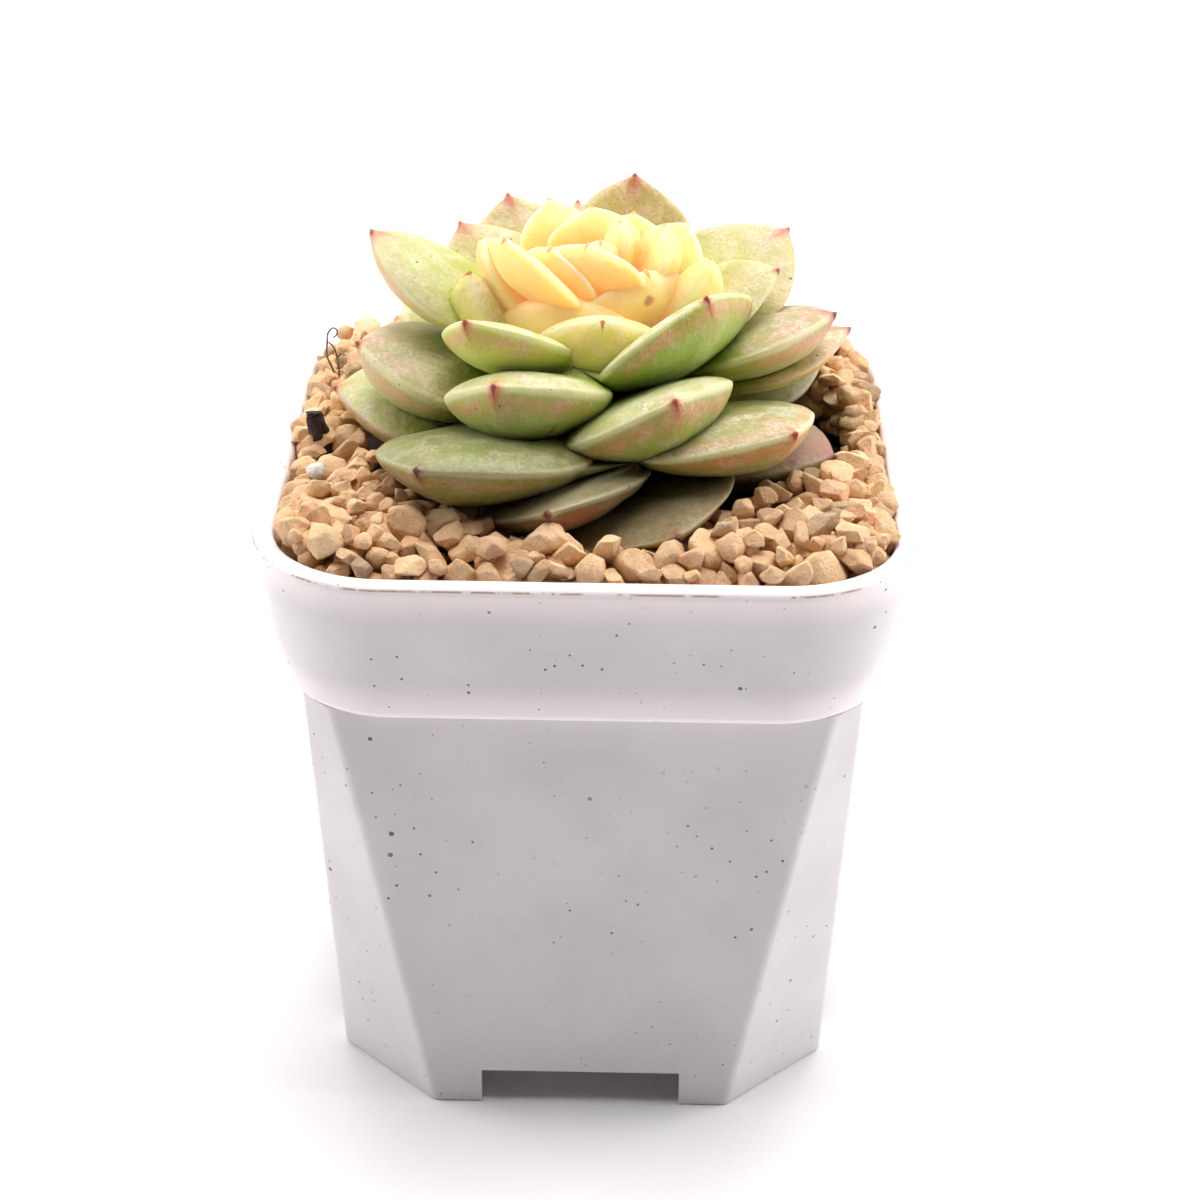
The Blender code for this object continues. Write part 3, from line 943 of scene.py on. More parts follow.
@dataclass
class Rosette:
    """The plant: a short leaning stem that carries every leaf."""

    seat: Point = (0.8 * MM, 3 * MM, 66 * MM)
    lean: float = 4.0
    stem_radius: float = 3.5 * MM
    stem_length: float = 24 * MM
    stem_tip: float = 0.6 * MM
    leaf_length: float = 26 * MM
    leaf_width: float = 19 * MM
    leaf_thickness: float = 5.5 * MM
    sink: float = 0.5 * MM
    point: float = 0.6 * MM
    point_radius: float = 0.46 * MM
    widest: float = 0.60
    thickest: float = 0.55
    neck_width: float = 0.46
    neck_thickness: float = 0.46
    upper_share: float = 0.42
    keel: float = 0.12
    cup: float = 0.03
    lens_power: float = 0.66
    stations: int = 34
    sides: int = 44
    gap: float = 0.04 * MM
    unevenness: float = 0.16 * MM

    def matrix(self) -> Matrix:
        """Returns the plant's place: up from the soil, leaning to the front."""
        place = Matrix.Translation(Vector(self.seat))
        return place @ Matrix.Rotation(math.radians(self.lean), 4, "X")

    def _stem_at(self, height: float) -> float:
        """Returns the stem's radius at a height above the soil."""
        taper = min(max((height / self.stem_length - 0.5) / 0.5, 0.0), 1.0)
        return self.stem_radius + (self.stem_tip - self.stem_radius) * taper

    def _width_at(self, share: float) -> float:
        """Returns the blade's width at a share of its length, beside its widest."""
        if share < self.widest:
            grown = smooth_step(share / self.widest) ** 0.9
            return self.neck_width + (1 - self.neck_width) * grown
        return (1 - ((share - self.widest) / (1 - self.widest)) ** 2.1) ** 0.82

    def _thickness_at(self, share: float) -> float:
        """Returns the blade's thickness at a share of its length, beside its thickest."""
        if share < self.thickest:
            grown = smooth_step(share / self.thickest)
            return self.neck_thickness + (1 - self.neck_thickness) * grown
        return (1 - ((share - self.thickest) / (1 - self.thickest)) ** 2.8) ** 0.75

    def _sections(self, leaf: Leaf) -> tuple[list[list[Vector]], dict[str, list[float]]]:
        """Makes the leaf's cross-sections and the numbers that its finish reads.

        Args:
            leaf: the leaf to make.

        Returns:
            The rings of points, and for each point its values by name.
        """
        length = self.leaf_length * leaf.length
        half_width = self.leaf_width * leaf.width / 2
        thickness = self.leaf_thickness * leaf.thickness
        seat = self.stem_length * leaf.seat
        rib = Vector((0, self._stem_at(seat) - self.sink, seat))
        turn = self.matrix() @ Matrix.Rotation(math.pi + math.radians(leaf.azimuth), 4, "Z")
        names = ("along", "upper", "edge", "tip", "scar", "crust")
        values: dict[str, list[float]] = {name: [] for name in names}
        point_radius = self.point_radius * min(1.0, 0.4 + 0.6 * leaf.length)
        rings = []
        before = 0.0
        for k in range(self.stations + 1):
            share = 1 - (1 - k / self.stations) ** 1.5
            bend = leaf.tip_rise - leaf.rise
            middle = math.radians(leaf.rise + bend * (before + share) / 2)
            rib = rib + Vector((0, math.cos(middle), math.sin(middle))) * (share - before) * length
            before = share
            angle = math.radians(leaf.rise + bend * share)
            normal = Vector((0, -math.sin(angle), math.cos(angle)))
            along = Vector((0, math.cos(angle), math.sin(angle)))
            roll = Matrix.Rotation(math.radians(leaf.roll) * smooth_step(share / 0.5), 3, along)
            spine = point_radius * smooth_step((share - 0.92) / 0.08)
            half = math.hypot(half_width * self._width_at(share), spine)
            thick = math.hypot(thickness * self._thickness_at(share), 2 * spine)
            keel = self.keel * thick * smooth_step((share - 0.35) / 0.5)
            ring = []
            for i in range(self.sides):
                turned = math.tau * i / self.sides
                across = math.cos(turned)
                upper = math.sin(turned)
                lens = max(1 - across * across, 0.0) ** self.lens_power
                if upper >= 0:
                    rise = self.upper_share * thick * lens
                else:
                    rise = (self.upper_share - 1) * thick * lens
                    rise -= keel * (1 - abs(across)) ** 1.5
                rise += self.cup * half * across * across
                offset = Vector((-across * half, 0, 0)) + normal * rise
                ring.append(turn @ (rib + roll @ offset))
                side_gap = (1 - abs(across)) * half / MM
                end_gap = (1 - share) * length / MM
                values["along"].append(share)
                values["upper"].append(upper)
                values["edge"].append(min(side_gap, 0.7 * end_gap + 0.25 * side_gap))
                beside = 1.6 * abs(across) * half / MM
                values["tip"].append(end_gap + beside + max(upper, 0.0) * 0.6)
                values["scar"].append(0.0)
                values["crust"].append(0.0)
                for mark in leaf.marks if upper <= 0 else ():
                    dx = (across - mark.across) * half / MM
                    dy = (share - mark.along) * length / MM
                    strength = mark.strength(math.hypot(dx, dy))
                    name = "crust" if mark.kind is MarkKind.CRUST else "scar"
                    values[name][-1] = max(values[name][-1], strength)
            rings.append(ring)
        tip = sum(rings[-1], Vector()) / self.sides
        out = (turn.to_3x3() @ along).normalized()
        lift = (turn.to_3x3() @ normal).normalized()
        for share in (0.35, 0.65, 0.88):
            hooked = tip + out * self.point * leaf.length * share
            hooked = hooked + lift * 0.25 * self.point * share**2
            ring = [hooked + (p - tip) * (1 - share) ** 0.8 for p in rings[self.stations]]
            rings.append(ring)
            self._repeat(values, self.sides)
        rings.append([tip + out * self.point * leaf.length + lift * 0.3 * self.point])
        self._repeat(values, 1)
        root = sum(rings[0], Vector()) / self.sides
        for numbers in values.values():
            numbers.insert(0, numbers[0])
        return [[root], *rings], values

    def _repeat(self, values: dict[str, list[float]], count: int) -> None:
        """Gives points past the blade's end the values of the end itself.

        Args:
            values: the numbers to extend, by name.
            count: how many points there are.
        """
        ends = {"along": 1.0, "edge": 1.0}
        for name, numbers in values.items():
            numbers.extend([ends.get(name, 0.0)] * count)

    def _ripple(self, made: bpy.types.Object, seed: float) -> None:
        """Makes a blade slightly uneven, so that no two are alike.

        Args:
            made: the blade.
            seed: the blade's own place in the noise.
        """
        data = made.data
        normals = [v.normal.copy() for v in data.vertices]
        along = data.attributes["along"].data
        for vertex, normal in zip(data.vertices, normals):
            spot = vertex.co / (5 * MM) + Vector((seed * 3.1, seed, 0))
            amount = noise.noise(spot) + 0.4 * noise.noise(spot * 2.3)
            fade = 1 - smooth_step((along[vertex.index].value - 0.9) / 0.1)
            vertex.co += normal * amount * self.unevenness * fade

    def _yield_to(
        self, made: bpy.types.Object, inner: Sequence[tuple[BVHTree, Vector, Vector]]
    ) -> None:
        """Presses a leaf's surface in wherever an inner leaf takes up the space.

        Args:
            made: the leaf that yields.
            inner: each inner leaf's search tree and box.
        """
        for _ in range(2):
            for vertex in made.data.vertices:
                for tree, low, high in inner:
                    spot = vertex.co
                    if any(spot[i] < low[i] or spot[i] > high[i] for i in range(3)):
                        continue
                    place, normal, _face, _distance = tree.find_nearest(spot)
                    if (spot - place).dot(normal) < self.gap:
                        vertex.co = place + normal * self.gap

    def build(self, leaves: Sequence[tuple[Age, Leaf]]) -> list[bpy.types.Object]:
        """Builds every leaf, the inner ones first.

        Args:
            leaves: the leaves with their ages, from the outermost in.

        Returns:
            The leaves as objects, in the same order.
        """
        made = []
        inner: list[tuple[BVHTree, Vector, Vector]] = []
        for number, (age, leaf) in reversed(list(enumerate(leaves, 1))):
            rings, values = self._sections(leaf)
            name = f"leaf_{number:02d}"
            blade = loft_object(f"{name}_blade", rings, values)
            self._ripple(blade, number * 7.3)
            self._yield_to(blade, inner)
            corners = [v.co for v in blade.data.vertices]
            low = Vector([min(c[i] for c in corners) for i in range(3)])
            high = Vector([max(c[i] for c in corners) for i in range(3)])
            inner.append((tree_of(blade), low, high))
            settle_piece(blade, age.value, [name], leaf.finish.material(f"{name}_skin"))
            made.append(blade)
        return made[::-1]


def leaf_rows() -> list[tuple[Age, Leaf]]:
    """Lists the leaves from the outermost to the growing tip.

    Returns:
        Each leaf with its age.
    """
    old, green, heart = Age.OLD, Age.GREEN, Age.HEART
    hidden_old = replace(OLD, belly=(140, 136, 74), base=(112, 114, 44))
    scar, crust, ring = MarkKind.SCAR, MarkKind.CRUST, MarkKind.RING_SCAR
    scars_b = (Mark(scar, 0.88, 0.42, 2.4), Mark(scar, 0.80, -0.5, 1.6))
    crust_a = (Mark(crust, 0.80, -0.45, 2.0), Mark(scar, 0.82, 0.6, 2.4))
    dull_a = replace(
        OLD, belly=(150, 130, 88), back=(150, 134, 92), base=(110, 100, 56), bloom=0.35, blush=0.7,
    )
    dull_b = replace(OLD, belly=(108, 92, 54), base=(76, 72, 34), bloom=0.25, tip_size=1.6)
    olive_c = replace(
        OLD, belly=(122, 118, 30), base=(98, 98, 22), back=(132, 142, 74), bloom=0.55,
        tip=(112, 40, 34),
    )
    tan_e = replace(
        OLD, belly=(128, 110, 58), back=(168, 124, 104), tip=(176, 120, 120), tip_size=4.0,
        blush=0.5,
    )
    pink_i = replace(GREEN, belly=(186, 182, 108), margin=(226, 180, 168))
    warm_d = replace(
        GREEN, belly=(158, 156, 66), back=(174, 174, 110), base=(142, 146, 30), blush=0.75,
        flush=0.7,
    )
    warm_h = replace(
        GREEN, belly=(190, 194, 104), back=(196, 190, 132), flush=0.6, base=(140, 156, 30),
        blush=0.75, blush_colour=(226, 160, 124),
    )
    warm_g = replace(GREEN, belly=(158, 170, 68), base=(136, 156, 28), blush=0.7)
    warm_f = replace(GREEN, belly=(172, 192, 88), base=(150, 172, 34), blush=0.7)
    warm_j = replace(
        GREEN, belly=(186, 170, 100), back=(184, 172, 122), base=(156, 166, 60), blush=0.85,
        flush=0.8, tip=(170, 92, 112), tip_size=3.4,
    )
    pink_k = replace(
        PALE, back=(184, 172, 112), blush=0.6, flush=0.6, tip=(190, 104, 112), tip_size=2.4,
        margin=(224, 170, 160),
    )
    warm_m = replace(GREEN, belly=(160, 182, 62), base=(128, 160, 0), blush=0.75)
    leafy_l = replace(GREEN, belly=(198, 208, 76), base=(186, 200, 20), blush=0.6, through=0.03)
    pink_n = replace(
        GREEN, belly=(222, 212, 142), base=(184, 196, 70), tip=(222, 124, 112), tip_size=3.6,
        blush=0.7, flush=0.45,
    )
    pink_back = replace(
        PALE, tip=(206, 112, 104), tip_size=3.4, blush=0.6, flush=0.5, margin=(230, 176, 160),
    )
    clean_t = replace(
        PALE, base=(206, 204, 50), belly=(230, 222, 118), tip_size=0.4, blush=0.1, through=0.06,
    )
    leafy_u = replace(
        PALE, base=(232, 204, 60), belly=(236, 222, 104), back=(226, 218, 130), tip_size=0.4,
        blush=0.1, through=0.10,
    )
    peach_v = replace(
        HEART, belly=(250, 222, 150), base=(250, 200, 110), margin=(206, 152, 92), through=0.22,
    )
    pale_w = replace(HEART, belly=(246, 230, 170))
    scar_d = (Mark(scar, 0.80, -0.1, 0.6),)
    ring_d = (Mark(ring, 0.88, 0.22, 1.3),)
    ring_f = (Mark(ring, 0.74, 0.42, 1.3),)
    return [
        (old, Leaf(17, 0.10, 4, 15, 1.06, 1.03, 0.65, 16, dull_a, crust_a)),
        (old, Leaf(-9, 0.19, -4, 25, 1.03, 1.00, 0.82, 19, dull_b, scars_b)),
        (old, Leaf(-33, 0.29, 2, 23, 1.18, 1.25, 1.25, 10, olive_c)),
        (old, Leaf(-123, 0.12, 0, 14, 1.03, 0.93, 0.87, -16, hidden_old)),
        (old, Leaf(-163, 0.06, 1, 11, 1.10, 0.93, 0.78, -2, hidden_old)),
        (old, Leaf(148, 0.12, -3, 12, 1.03, 0.93, 0.85, 9, hidden_old)),
        (old, Leaf(126, 0.21, 3, 10, 1.07, 0.93, 0.89, 13, hidden_old)),
        (green, Leaf(69, 0.18, 1, 8, 0.94, 0.94, 1.30, -5, tan_e)),
        (green, Leaf(-89, 0.20, 3, 14, 1.00, 1.03, 1.20, 0, pink_i)),
        (green, Leaf(-178, 0.24, 2, 13, 1.02, 0.96, 0.87, -7, GREEN)),
        (green, Leaf(-128, 0.29, 3, 34, 0.99, 0.95, 0.91, 9, GREEN)),
        (green, Leaf(46, 0.28, 7, 26, 1.04, 1.14, 1.10, -4, warm_d, ring_d)),
        (green, Leaf(-174, 0.33, 7, 39, 1.05, 0.93, 0.78, -1, GREEN)),
        (green, Leaf(103, 0.39, -2, 20, 0.99, 0.93, 0.78, -10, pink_k)),
        (green, Leaf(-80, 0.39, 6, 27, 0.93, 0.97, 1.45, 0, warm_h)),
        (green, Leaf(21, 0.40, 3, 46, 0.87, 1.03, 1.20, 12, warm_g)),
        (green, Leaf(141, 0.42, 9, 31, 0.99, 0.95, 0.96, 4, GREEN)),
        (green, Leaf(-151, 0.39, 14, 58, 0.92, 0.88, 0.82, -12, pink_back)),
        (green, Leaf(-127, 0.46, 22, 50, 0.79, 0.69, 0.82, -24, pink_back)),
        (green, Leaf(166, 0.48, 15, 90, 0.84, 0.80, 0.84, 4, pink_back)),
        (green, Leaf(88, 0.47, 12, 25, 0.91, 0.98, 1.05, -14, warm_j)),
        (green, Leaf(-27, 0.48, 2, 42, 0.84, 0.97, 1.29, 15, warm_f, ring_f)),
        (green, Leaf(46, 0.50, 24, 68, 0.73, 1.14, 0.96, 0, warm_m)),
        (green, Leaf(-41, 0.53, 22, 45, 0.82, 0.76, 0.80, 17, leafy_l)),
        (green, Leaf(-94, 0.64, 8, 45, 0.97, 0.84, 1.05, 2, pink_n)),
        (green, Leaf(118, 0.66, 1, 37, 0.88, 0.97, 0.60, 8, pink_back)),
        (green, Leaf(92, 0.55, 29, 33, 0.74, 0.63, 0.47, 14, PALE)),
        (heart, Leaf(-72, 0.51, 12, 83, 0.69, 0.45, 1.07, -9, clean_t)),
        (heart, Leaf(3, 0.59, 27, 56, 0.54, 0.72, 1.10, -2, leafy_u)),
        (heart, Leaf(-30, 0.61, 31, 81, 0.43, 0.76, 0.75, 18, peach_v)),
        (heart, Leaf(-153, 0.58, 29, 72, 0.52, 0.61, 0.71, 3, HEART)),
        (heart, Leaf(76, 0.63, 23, 73, 0.59, 0.38, 0.89, 3, pale_w)),
        (heart, Leaf(159, 0.63, 29, 76, 0.52, 0.64, 0.62, 13, HEART)),
        (heart, Leaf(50, 0.65, 39, 91, 0.42, 0.74, 0.70, -18, HEART, scar_d)),
        (heart, Leaf(-88, 0.66, 25, 69, 0.60, 0.56, 0.62, -1, HEART)),
        (heart, Leaf(-142, 0.67, 39, 82, 0.55, 0.56, 0.64, 2, HEART)),
        (heart, Leaf(118, 0.69, 31, 65, 0.52, 0.59, 0.56, 13, HEART)),
        (heart, Leaf(-171, 0.78, 51, 86, 0.40, 0.56, 0.69, 9, HEART)),
        (heart, Leaf(-57, 0.78, 30, 63, 0.58, 0.72, 0.66, 4, HEART)),
        (heart, Leaf(-52, 0.78, 38, 83, 0.40, 0.56, 0.50, 7, HEART)),
        (heart, Leaf(92, 0.73, 38, 90, 0.48, 0.44, 0.71, 5, HEART)),
        (heart, Leaf(-14, 0.83, 45, 92, 0.35, 0.68, 0.66, -8, HEART)),
        (heart, Leaf(121, 0.84, 66, 92, 0.32, 0.28, 0.65, -7, HEART)),
        (heart, Leaf(179, 0.88, 76, 100, 0.19, 0.25, 0.45, -1, HEART)),
        (heart, Leaf(9, 0.93, 75, 92, 0.19, 0.24, 0.44, 0, HEART)),
    ]


# ------------------------------------------------------------------ soil and gravel


@dataclass(frozen=True)
class DarkPeat:
    """Moist dark potting soil, crumbly."""

    dark: Colour = (38, 26, 21)
    light: Colour = (82, 58, 44)

    def material(self, name: str = "dark_peat") -> bpy.types.Material:
        """Makes the material of that name.

        Args:
            name: the material's name.

        Returns:
            The material.
        """
        dress = Dress(name)
        grain = dress.noise(0.9 * MM, 6, 0.7)
        colour = dress.mix(dress.span(grain, 0.35, 0.72), self.dark, self.light)
        relief = dress.bump(grain, 0.5 * MM)
        return dress.finish(colour, dress.span(grain, 0.3, 0.7, 0.75, 0.95), relief)


@dataclass(frozen=True)
class DustyClay:
    """Dry, dusty clay granules from tan to grey-brown."""

    stops: tuple[tuple[float, Colour], ...] = (
        (0.0, (186, 158, 128)),
        (0.08, (224, 184, 144)),
        (0.40, (240, 196, 150)),
        (0.80, (250, 212, 164)),
        (1.0, (238, 188, 148)),
    )
    dust: Colour = (252, 226, 186)
    pit: Colour = (190, 140, 100)

    def material(self) -> bpy.types.Material:
        """Makes the material.

        Returns:
            The material.
        """
        dress = Dress("dusty_clay")
        coarse = dress.noise(1.6 * MM, 4, 0.65)
        fine = dress.noise(0.28 * MM, 4, 0.7)
        colour = dress.ramp(dress.value("tint"), self.stops)
        colour = dress.mix(dress.span(coarse, 0.52, 0.78, 0.0, 0.55), colour, self.pit)
        colour = dress.mix(dress.span(coarse, 0.50, 0.25, 0.0, 0.5), colour, self.dust)
        colour = dress.mix(dress.span(fine, 0.54, 0.74, 0.0, 0.7), colour, self.pit)
        relief = dress.bump(coarse, 0.45 * MM)
        relief = dress.bump(fine, 0.16 * MM, relief)
        return dress.finish(colour, dress.span(fine, 0.3, 0.7, 0.82, 0.98), relief)


@dataclass
class SoilBed:
    """The soil that fills the pot, crumbly on top where the gravel leaves it bare."""

    pot: SquarePot
    centre: Point = (0.8 * MM, 3 * MM, 0.0)
    below_lip: float = 5.0 * MM
    rise: float = 2.2 * MM
    skirt: float = 30 * MM
    opening: float = 22 * MM
    clearance: float = 0.3 * MM
    rough: float = 0.75 * MM
    ring_count: int = 40

    def height(self, x: float, y: float) -> float:
        """Returns the soil's top at a place, before its crumbs."""
        reach = math.hypot(x - self.centre[0], y - self.centre[1])
        share = (self.skirt - reach) / (self.skirt - self.opening)
        return self.pot.height - self.below_lip + self.rise * smooth_step(share)

    def _top_point(self, x: float, y: float) -> Vector:
        """Returns a point of the crumbly surface."""
        spot = Vector((x, y, 0)) / (1.7 * MM)
        crumbs = noise.fractal(spot, 0.7, 2.1, 4)
        return Vector((x, y, self.height(x, y) + self.rough * crumbs * 0.6))

    def _refined(self, ring: Sequence[Vector], edge: Sequence[Vector]) -> list[Vector]:
        """Adds points to a ring wherever the soil's edge has long sides.

        Args:
            ring: the ring to refine.
            edge: the ring whose sides set how many points are added.

        Returns:
            The ring with its added points.
        """
        filled = []
        for i, point in enumerate(ring):
            j = (i + 1) % len(ring)
            parts = int((edge[j] - edge[i]).length / (1.2 * MM)) + 1
            filled.extend(point.lerp(ring[j], k / parts) for k in range(parts))
        return filled

    def build(self) -> bpy.types.Object:
        """Builds and dresses the soil.

        Returns:
            The soil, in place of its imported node.
        """
        pot = self.pot
        gap = pot.wall + self.clearance
        low = pot.foot + pot.floor + self.clearance
        shelf = pot.rim_under + pot.wall + self.clearance
        level = pot.height - self.below_lip
        rings = [
            [Vector((0, 0, low))],
            pot.body_ring(pot.foot + pot.floor, gap, low),
            pot.body_ring(pot.rim_under, gap, shelf),
            pot.rim_ring(shelf, gap + 0.1 * MM),
        ]
        edge = pot.rim_ring(level, pot.lip + 0.2 * MM)
        middle = Vector((*self.centre[:2], 0))
        dense = self._refined(edge, edge)
        rings = [rings[0]] + [self._refined(ring, edge) for ring in rings[1:]]
        for k in range(self.ring_count):
            share = k / self.ring_count
            ring = []
            for point in dense:
                flat = Vector((point.x, point.y, 0)).lerp(middle, share)
                ring.append(self._top_point(flat.x, flat.y))
            rings.append(ring)
        rings.append([self._top_point(middle.x, middle.y)])
        bed = loft_object("soil_bed", rings)
        settle_piece(bed, "dark_soil", ["soil"], DarkPeat().material())
        return bed


@dataclass
class GravelDressing:
    """Clay granules that lie two or three deep between the plant and the pot's lip.

    Bare spots have their place and radius in millimetres. The edge pairs directions in
    degrees, from the front to the right, with the gravel's inner radius in millimetres."""

    pot: SquarePot
    soil: SoilBed
    count: int = 900
    seed: int = 11
    mean_radius: float = 1.5 * MM
    spread: float = 0.27
    smallest: float = 0.75 * MM
    largest: float = 2.6 * MM
    variants: int = 14
    tumble: float = 0.55
    heap: float = 2.3 * MM
    bare: tuple[Point, ...] = ((-28.3, -5.4, 2.3), (-29.0, -12.4, 2.1))
    edge: Route = (
        (-180, 23), (-122, 26), (-108, 29.5), (-92, 28), (-77, 26.4), (-62, 27), (-49, 28),
        (-36, 25.6), (-26, 26), (-15, 23.5), (13, 22.5), (30, 23.5), (42, 25.8), (61, 26.8),
        (70, 29), (88, 29), (98, 30), (130, 26), (180, 23),
    )
    finish: DustyClay = field(default_factory=DustyClay)

    def _wall_half(self, z: float) -> float:
        """Returns half the pot's inner width at a height."""
        share = min((z - self.pot.rim_under) / self.pot.rim_height, 1.0)
        return self.pot.width / 2 - self.pot.rim_draft * (1 - share) - self.pot.lip

    def _inside_wall(self, x: np.ndarray, y: np.ndarray, radius: float) -> np.ndarray:
        """Tells which places lie inside the rounded square wall.

        Args:
            x: the places' sideways numbers.
            y: their numbers from front to back.
            radius: the grain's radius.

        Returns:
            True for each place inside.
        """
        half = self._wall_half(self.pot.height - 2 * MM) - radius * 0.85
        corner = self.pot.rim_corner - self.pot.lip - radius * 0.85
        over_x = np.maximum(np.abs(x) - (half - corner), 0)
        over_y = np.maximum(np.abs(y) - (half - corner), 0)
        return np.hypot(over_x, over_y) <= corner

    def _opening(self, x: np.ndarray, y: np.ndarray) -> np.ndarray:
        """Returns how near the plant the gravel comes, in each place's direction."""
        dx, dy = x - self.soil.centre[0], y - self.soil.centre[1]
        around = np.degrees(np.arctan2(dx, -dy))
        places, radii = zip(*self.edge)
        return np.interp(around, places, radii) * MM

    def _top(self, x: float, y: float) -> float:
        """Returns how high granules may lie at a place."""
        from_wall = 32 * MM - max(abs(x), abs(y))
        rise = self.heap * smooth_step(from_wall / (5 * MM))
        return self.pot.height + 1.1 * MM + rise

    def settle(self, leaves: Sequence[BVHTree]) -> list[tuple[Vector, float]]:
        """Drops round grains one by one and lets each roll to a low place.

        Args:
            leaves: search trees of the leaves, which the grains stay under or beside.

        Returns:
            Each grain's centre and radius.
        """
        dice = np.random.default_rng(self.seed)
        centres = np.zeros((0, 3))
        radii = np.zeros(0)
        angles = np.arange(8) * math.tau / 8
        steps = np.stack([np.cos(angles), np.sin(angles)], 1)
        grains: list[tuple[Vector, float]] = []
        soil = self.soil

        def rest(x: np.ndarray, y: np.ndarray, radius: float) -> np.ndarray:
            """Returns the height at which a grain would rest at each place.

            Args:
                x: the places' sideways numbers.
                y: their numbers from front to back.
                radius: the grain's radius.

            Returns:
                The height for each place.
            """
            reach = np.hypot(x - soil.centre[0], y - soil.centre[1])
            share = np.clip((soil.skirt - reach) / (soil.skirt - soil.opening), 0, 1)
            ground = self.pot.height - soil.below_lip + soil.rise * share * share * (3 - 2 * share)
            best = ground + radius * 0.7
            if len(radii):
                flat = (x[:, None] - centres[:, 0]) ** 2 + (y[:, None] - centres[:, 1]) ** 2
                touch = (radii + radius) * 0.86
                lift = np.sqrt(np.maximum(touch**2 - flat, 0))
                high = np.where(flat < touch**2, centres[:, 2] + lift, 0)
                best = np.maximum(best, high.max(1))
            return best

        def allowed(x: np.ndarray, y: np.ndarray, radius: float) -> np.ndarray:
            """Tells which places lie between the plant and the wall.

            Args:
                x: the places' sideways numbers.
                y: their numbers from front to back.
                radius: the grain's radius.

            Returns:
                True for each free place.
            """
            reach = np.hypot(x - soil.centre[0], y - soil.centre[1])
            free = self._inside_wall(x, y, radius) & (reach > self._opening(x, y))
            for spot_x, spot_y, bare in self.bare:
                free &= np.hypot(x - spot_x * MM, y - spot_y * MM) > (bare * MM + 0.6 * radius)
            return free

        tries = 0
        while len(grains) < self.count and tries < self.count * 6:
            tries += 1
            radius = self.mean_radius * math.exp(dice.normal(0, self.spread))
            radius = float(np.clip(radius, self.smallest, self.largest))
            x, y = dice.uniform(-33 * MM, 33 * MM, 2)
            if not allowed(np.array([x]), np.array([y]), radius)[0]:
                continue
            here = rest(np.array([x]), np.array([y]), radius)[0]
            for step in (1.0, 0.6, 0.35, 0.2, 0.12):
                for _ in range(6):
                    xs, ys = x + steps[:, 0] * radius * step, y + steps[:, 1] * radius * step
                    heights = np.where(allowed(xs, ys, radius), rest(xs, ys, radius), 1.0)
                    low = int(heights.argmin())
                    if heights[low] >= here - 1e-6:
                        break
                    x, y, here = xs[low], ys[low], heights[low]
            if here + 0.5 * radius > self._top(x, y):
                continue
            spot = Vector((x, y, here))
            if any(self._too_near(tree, spot, radius) for tree in leaves):
                continue
            grains.append((spot, radius))
            centres = np.vstack([centres, [x, y, here]])
            radii = np.append(radii, radius)
        grains.extend(self._lip_row(dice))
        return grains

    def _lip_row(self, dice: np.random.Generator) -> list[tuple[Vector, float]]:
        """Lays a loose row of stones on the lip at the sides and the back.

        Args:
            dice: the source of its chances.

        Returns:
            Each stone's centre and radius.
        """
        inset = 1.45 * self.pot.lip
        half = self.pot.width / 2 - inset
        corner = self.pot.rim_corner - inset
        straight = half - corner
        route: list[tuple[float, float]] = []
        for side in (-1, 1):
            route += [(side * half, y) for y in np.arange(-straight, straight, 2.1 * MM)]
            for start in (-80, -65, -50, -35, -20, -8, 8, 20, 35, 50, 65, 80):
                angle = math.radians(start)
                x = side * (straight + corner * math.cos(angle))
                route.append((x, math.copysign(straight, start) + corner * math.sin(angle)))
        route += [(x, half) for x in np.arange(-straight, straight, 2.1 * MM)]
        stones = []
        for x, y in route:
            radius = dice.uniform(0.9, 1.6) * MM
            inwards = 1 - dice.uniform(-0.004, 0.05)
            if y < -28 * MM or dice.random() < 0.12:
                continue
            top = self.pot.height + 0.40 * radius
            stones.append((Vector((x * inwards, y * inwards, top)), radius))
        return stones

    def _too_near(self, tree: BVHTree, spot: Vector, radius: float) -> bool:
        """Tells whether a grain would reach into a leaf.

        Args:
            tree: the leaf's search tree.
            spot: the grain's centre.
            radius: the grain's radius.

        Returns:
            True if it would.
        """
        distance = tree.find_nearest(spot)[3]
        if distance < radius * 0.80:
            return True
        if distance > 4 * MM:
            return False
        crossings = 0
        start = spot
        while crossings < 9:
            hit = tree.ray_cast(start, Vector((0, 0, 1)))[0]
            if hit is None:
                break
            crossings += 1
            start = hit + Vector((0, 0, 0.01 * MM))
        return crossings % 2 == 1

    def _buried(self, spot: Vector, radius: float, grains: Sequence[tuple[Vector, float]]) -> bool:
        """Tells whether two or more other grains lie on top of this one.

        Args:
            spot: the grain's centre.
            radius: its radius.
            grains: every grain's centre and radius.

        Returns:
            True if it is out of sight.
        """
        above = 0
        for other, reach in grains:
            over = other.z - spot.z
            apart = math.hypot(other.x - spot.x, other.y - spot.y)
            if over > 0.55 * radius and apart < 0.62 * (radius + reach):
                above += 1
        return above >= 2

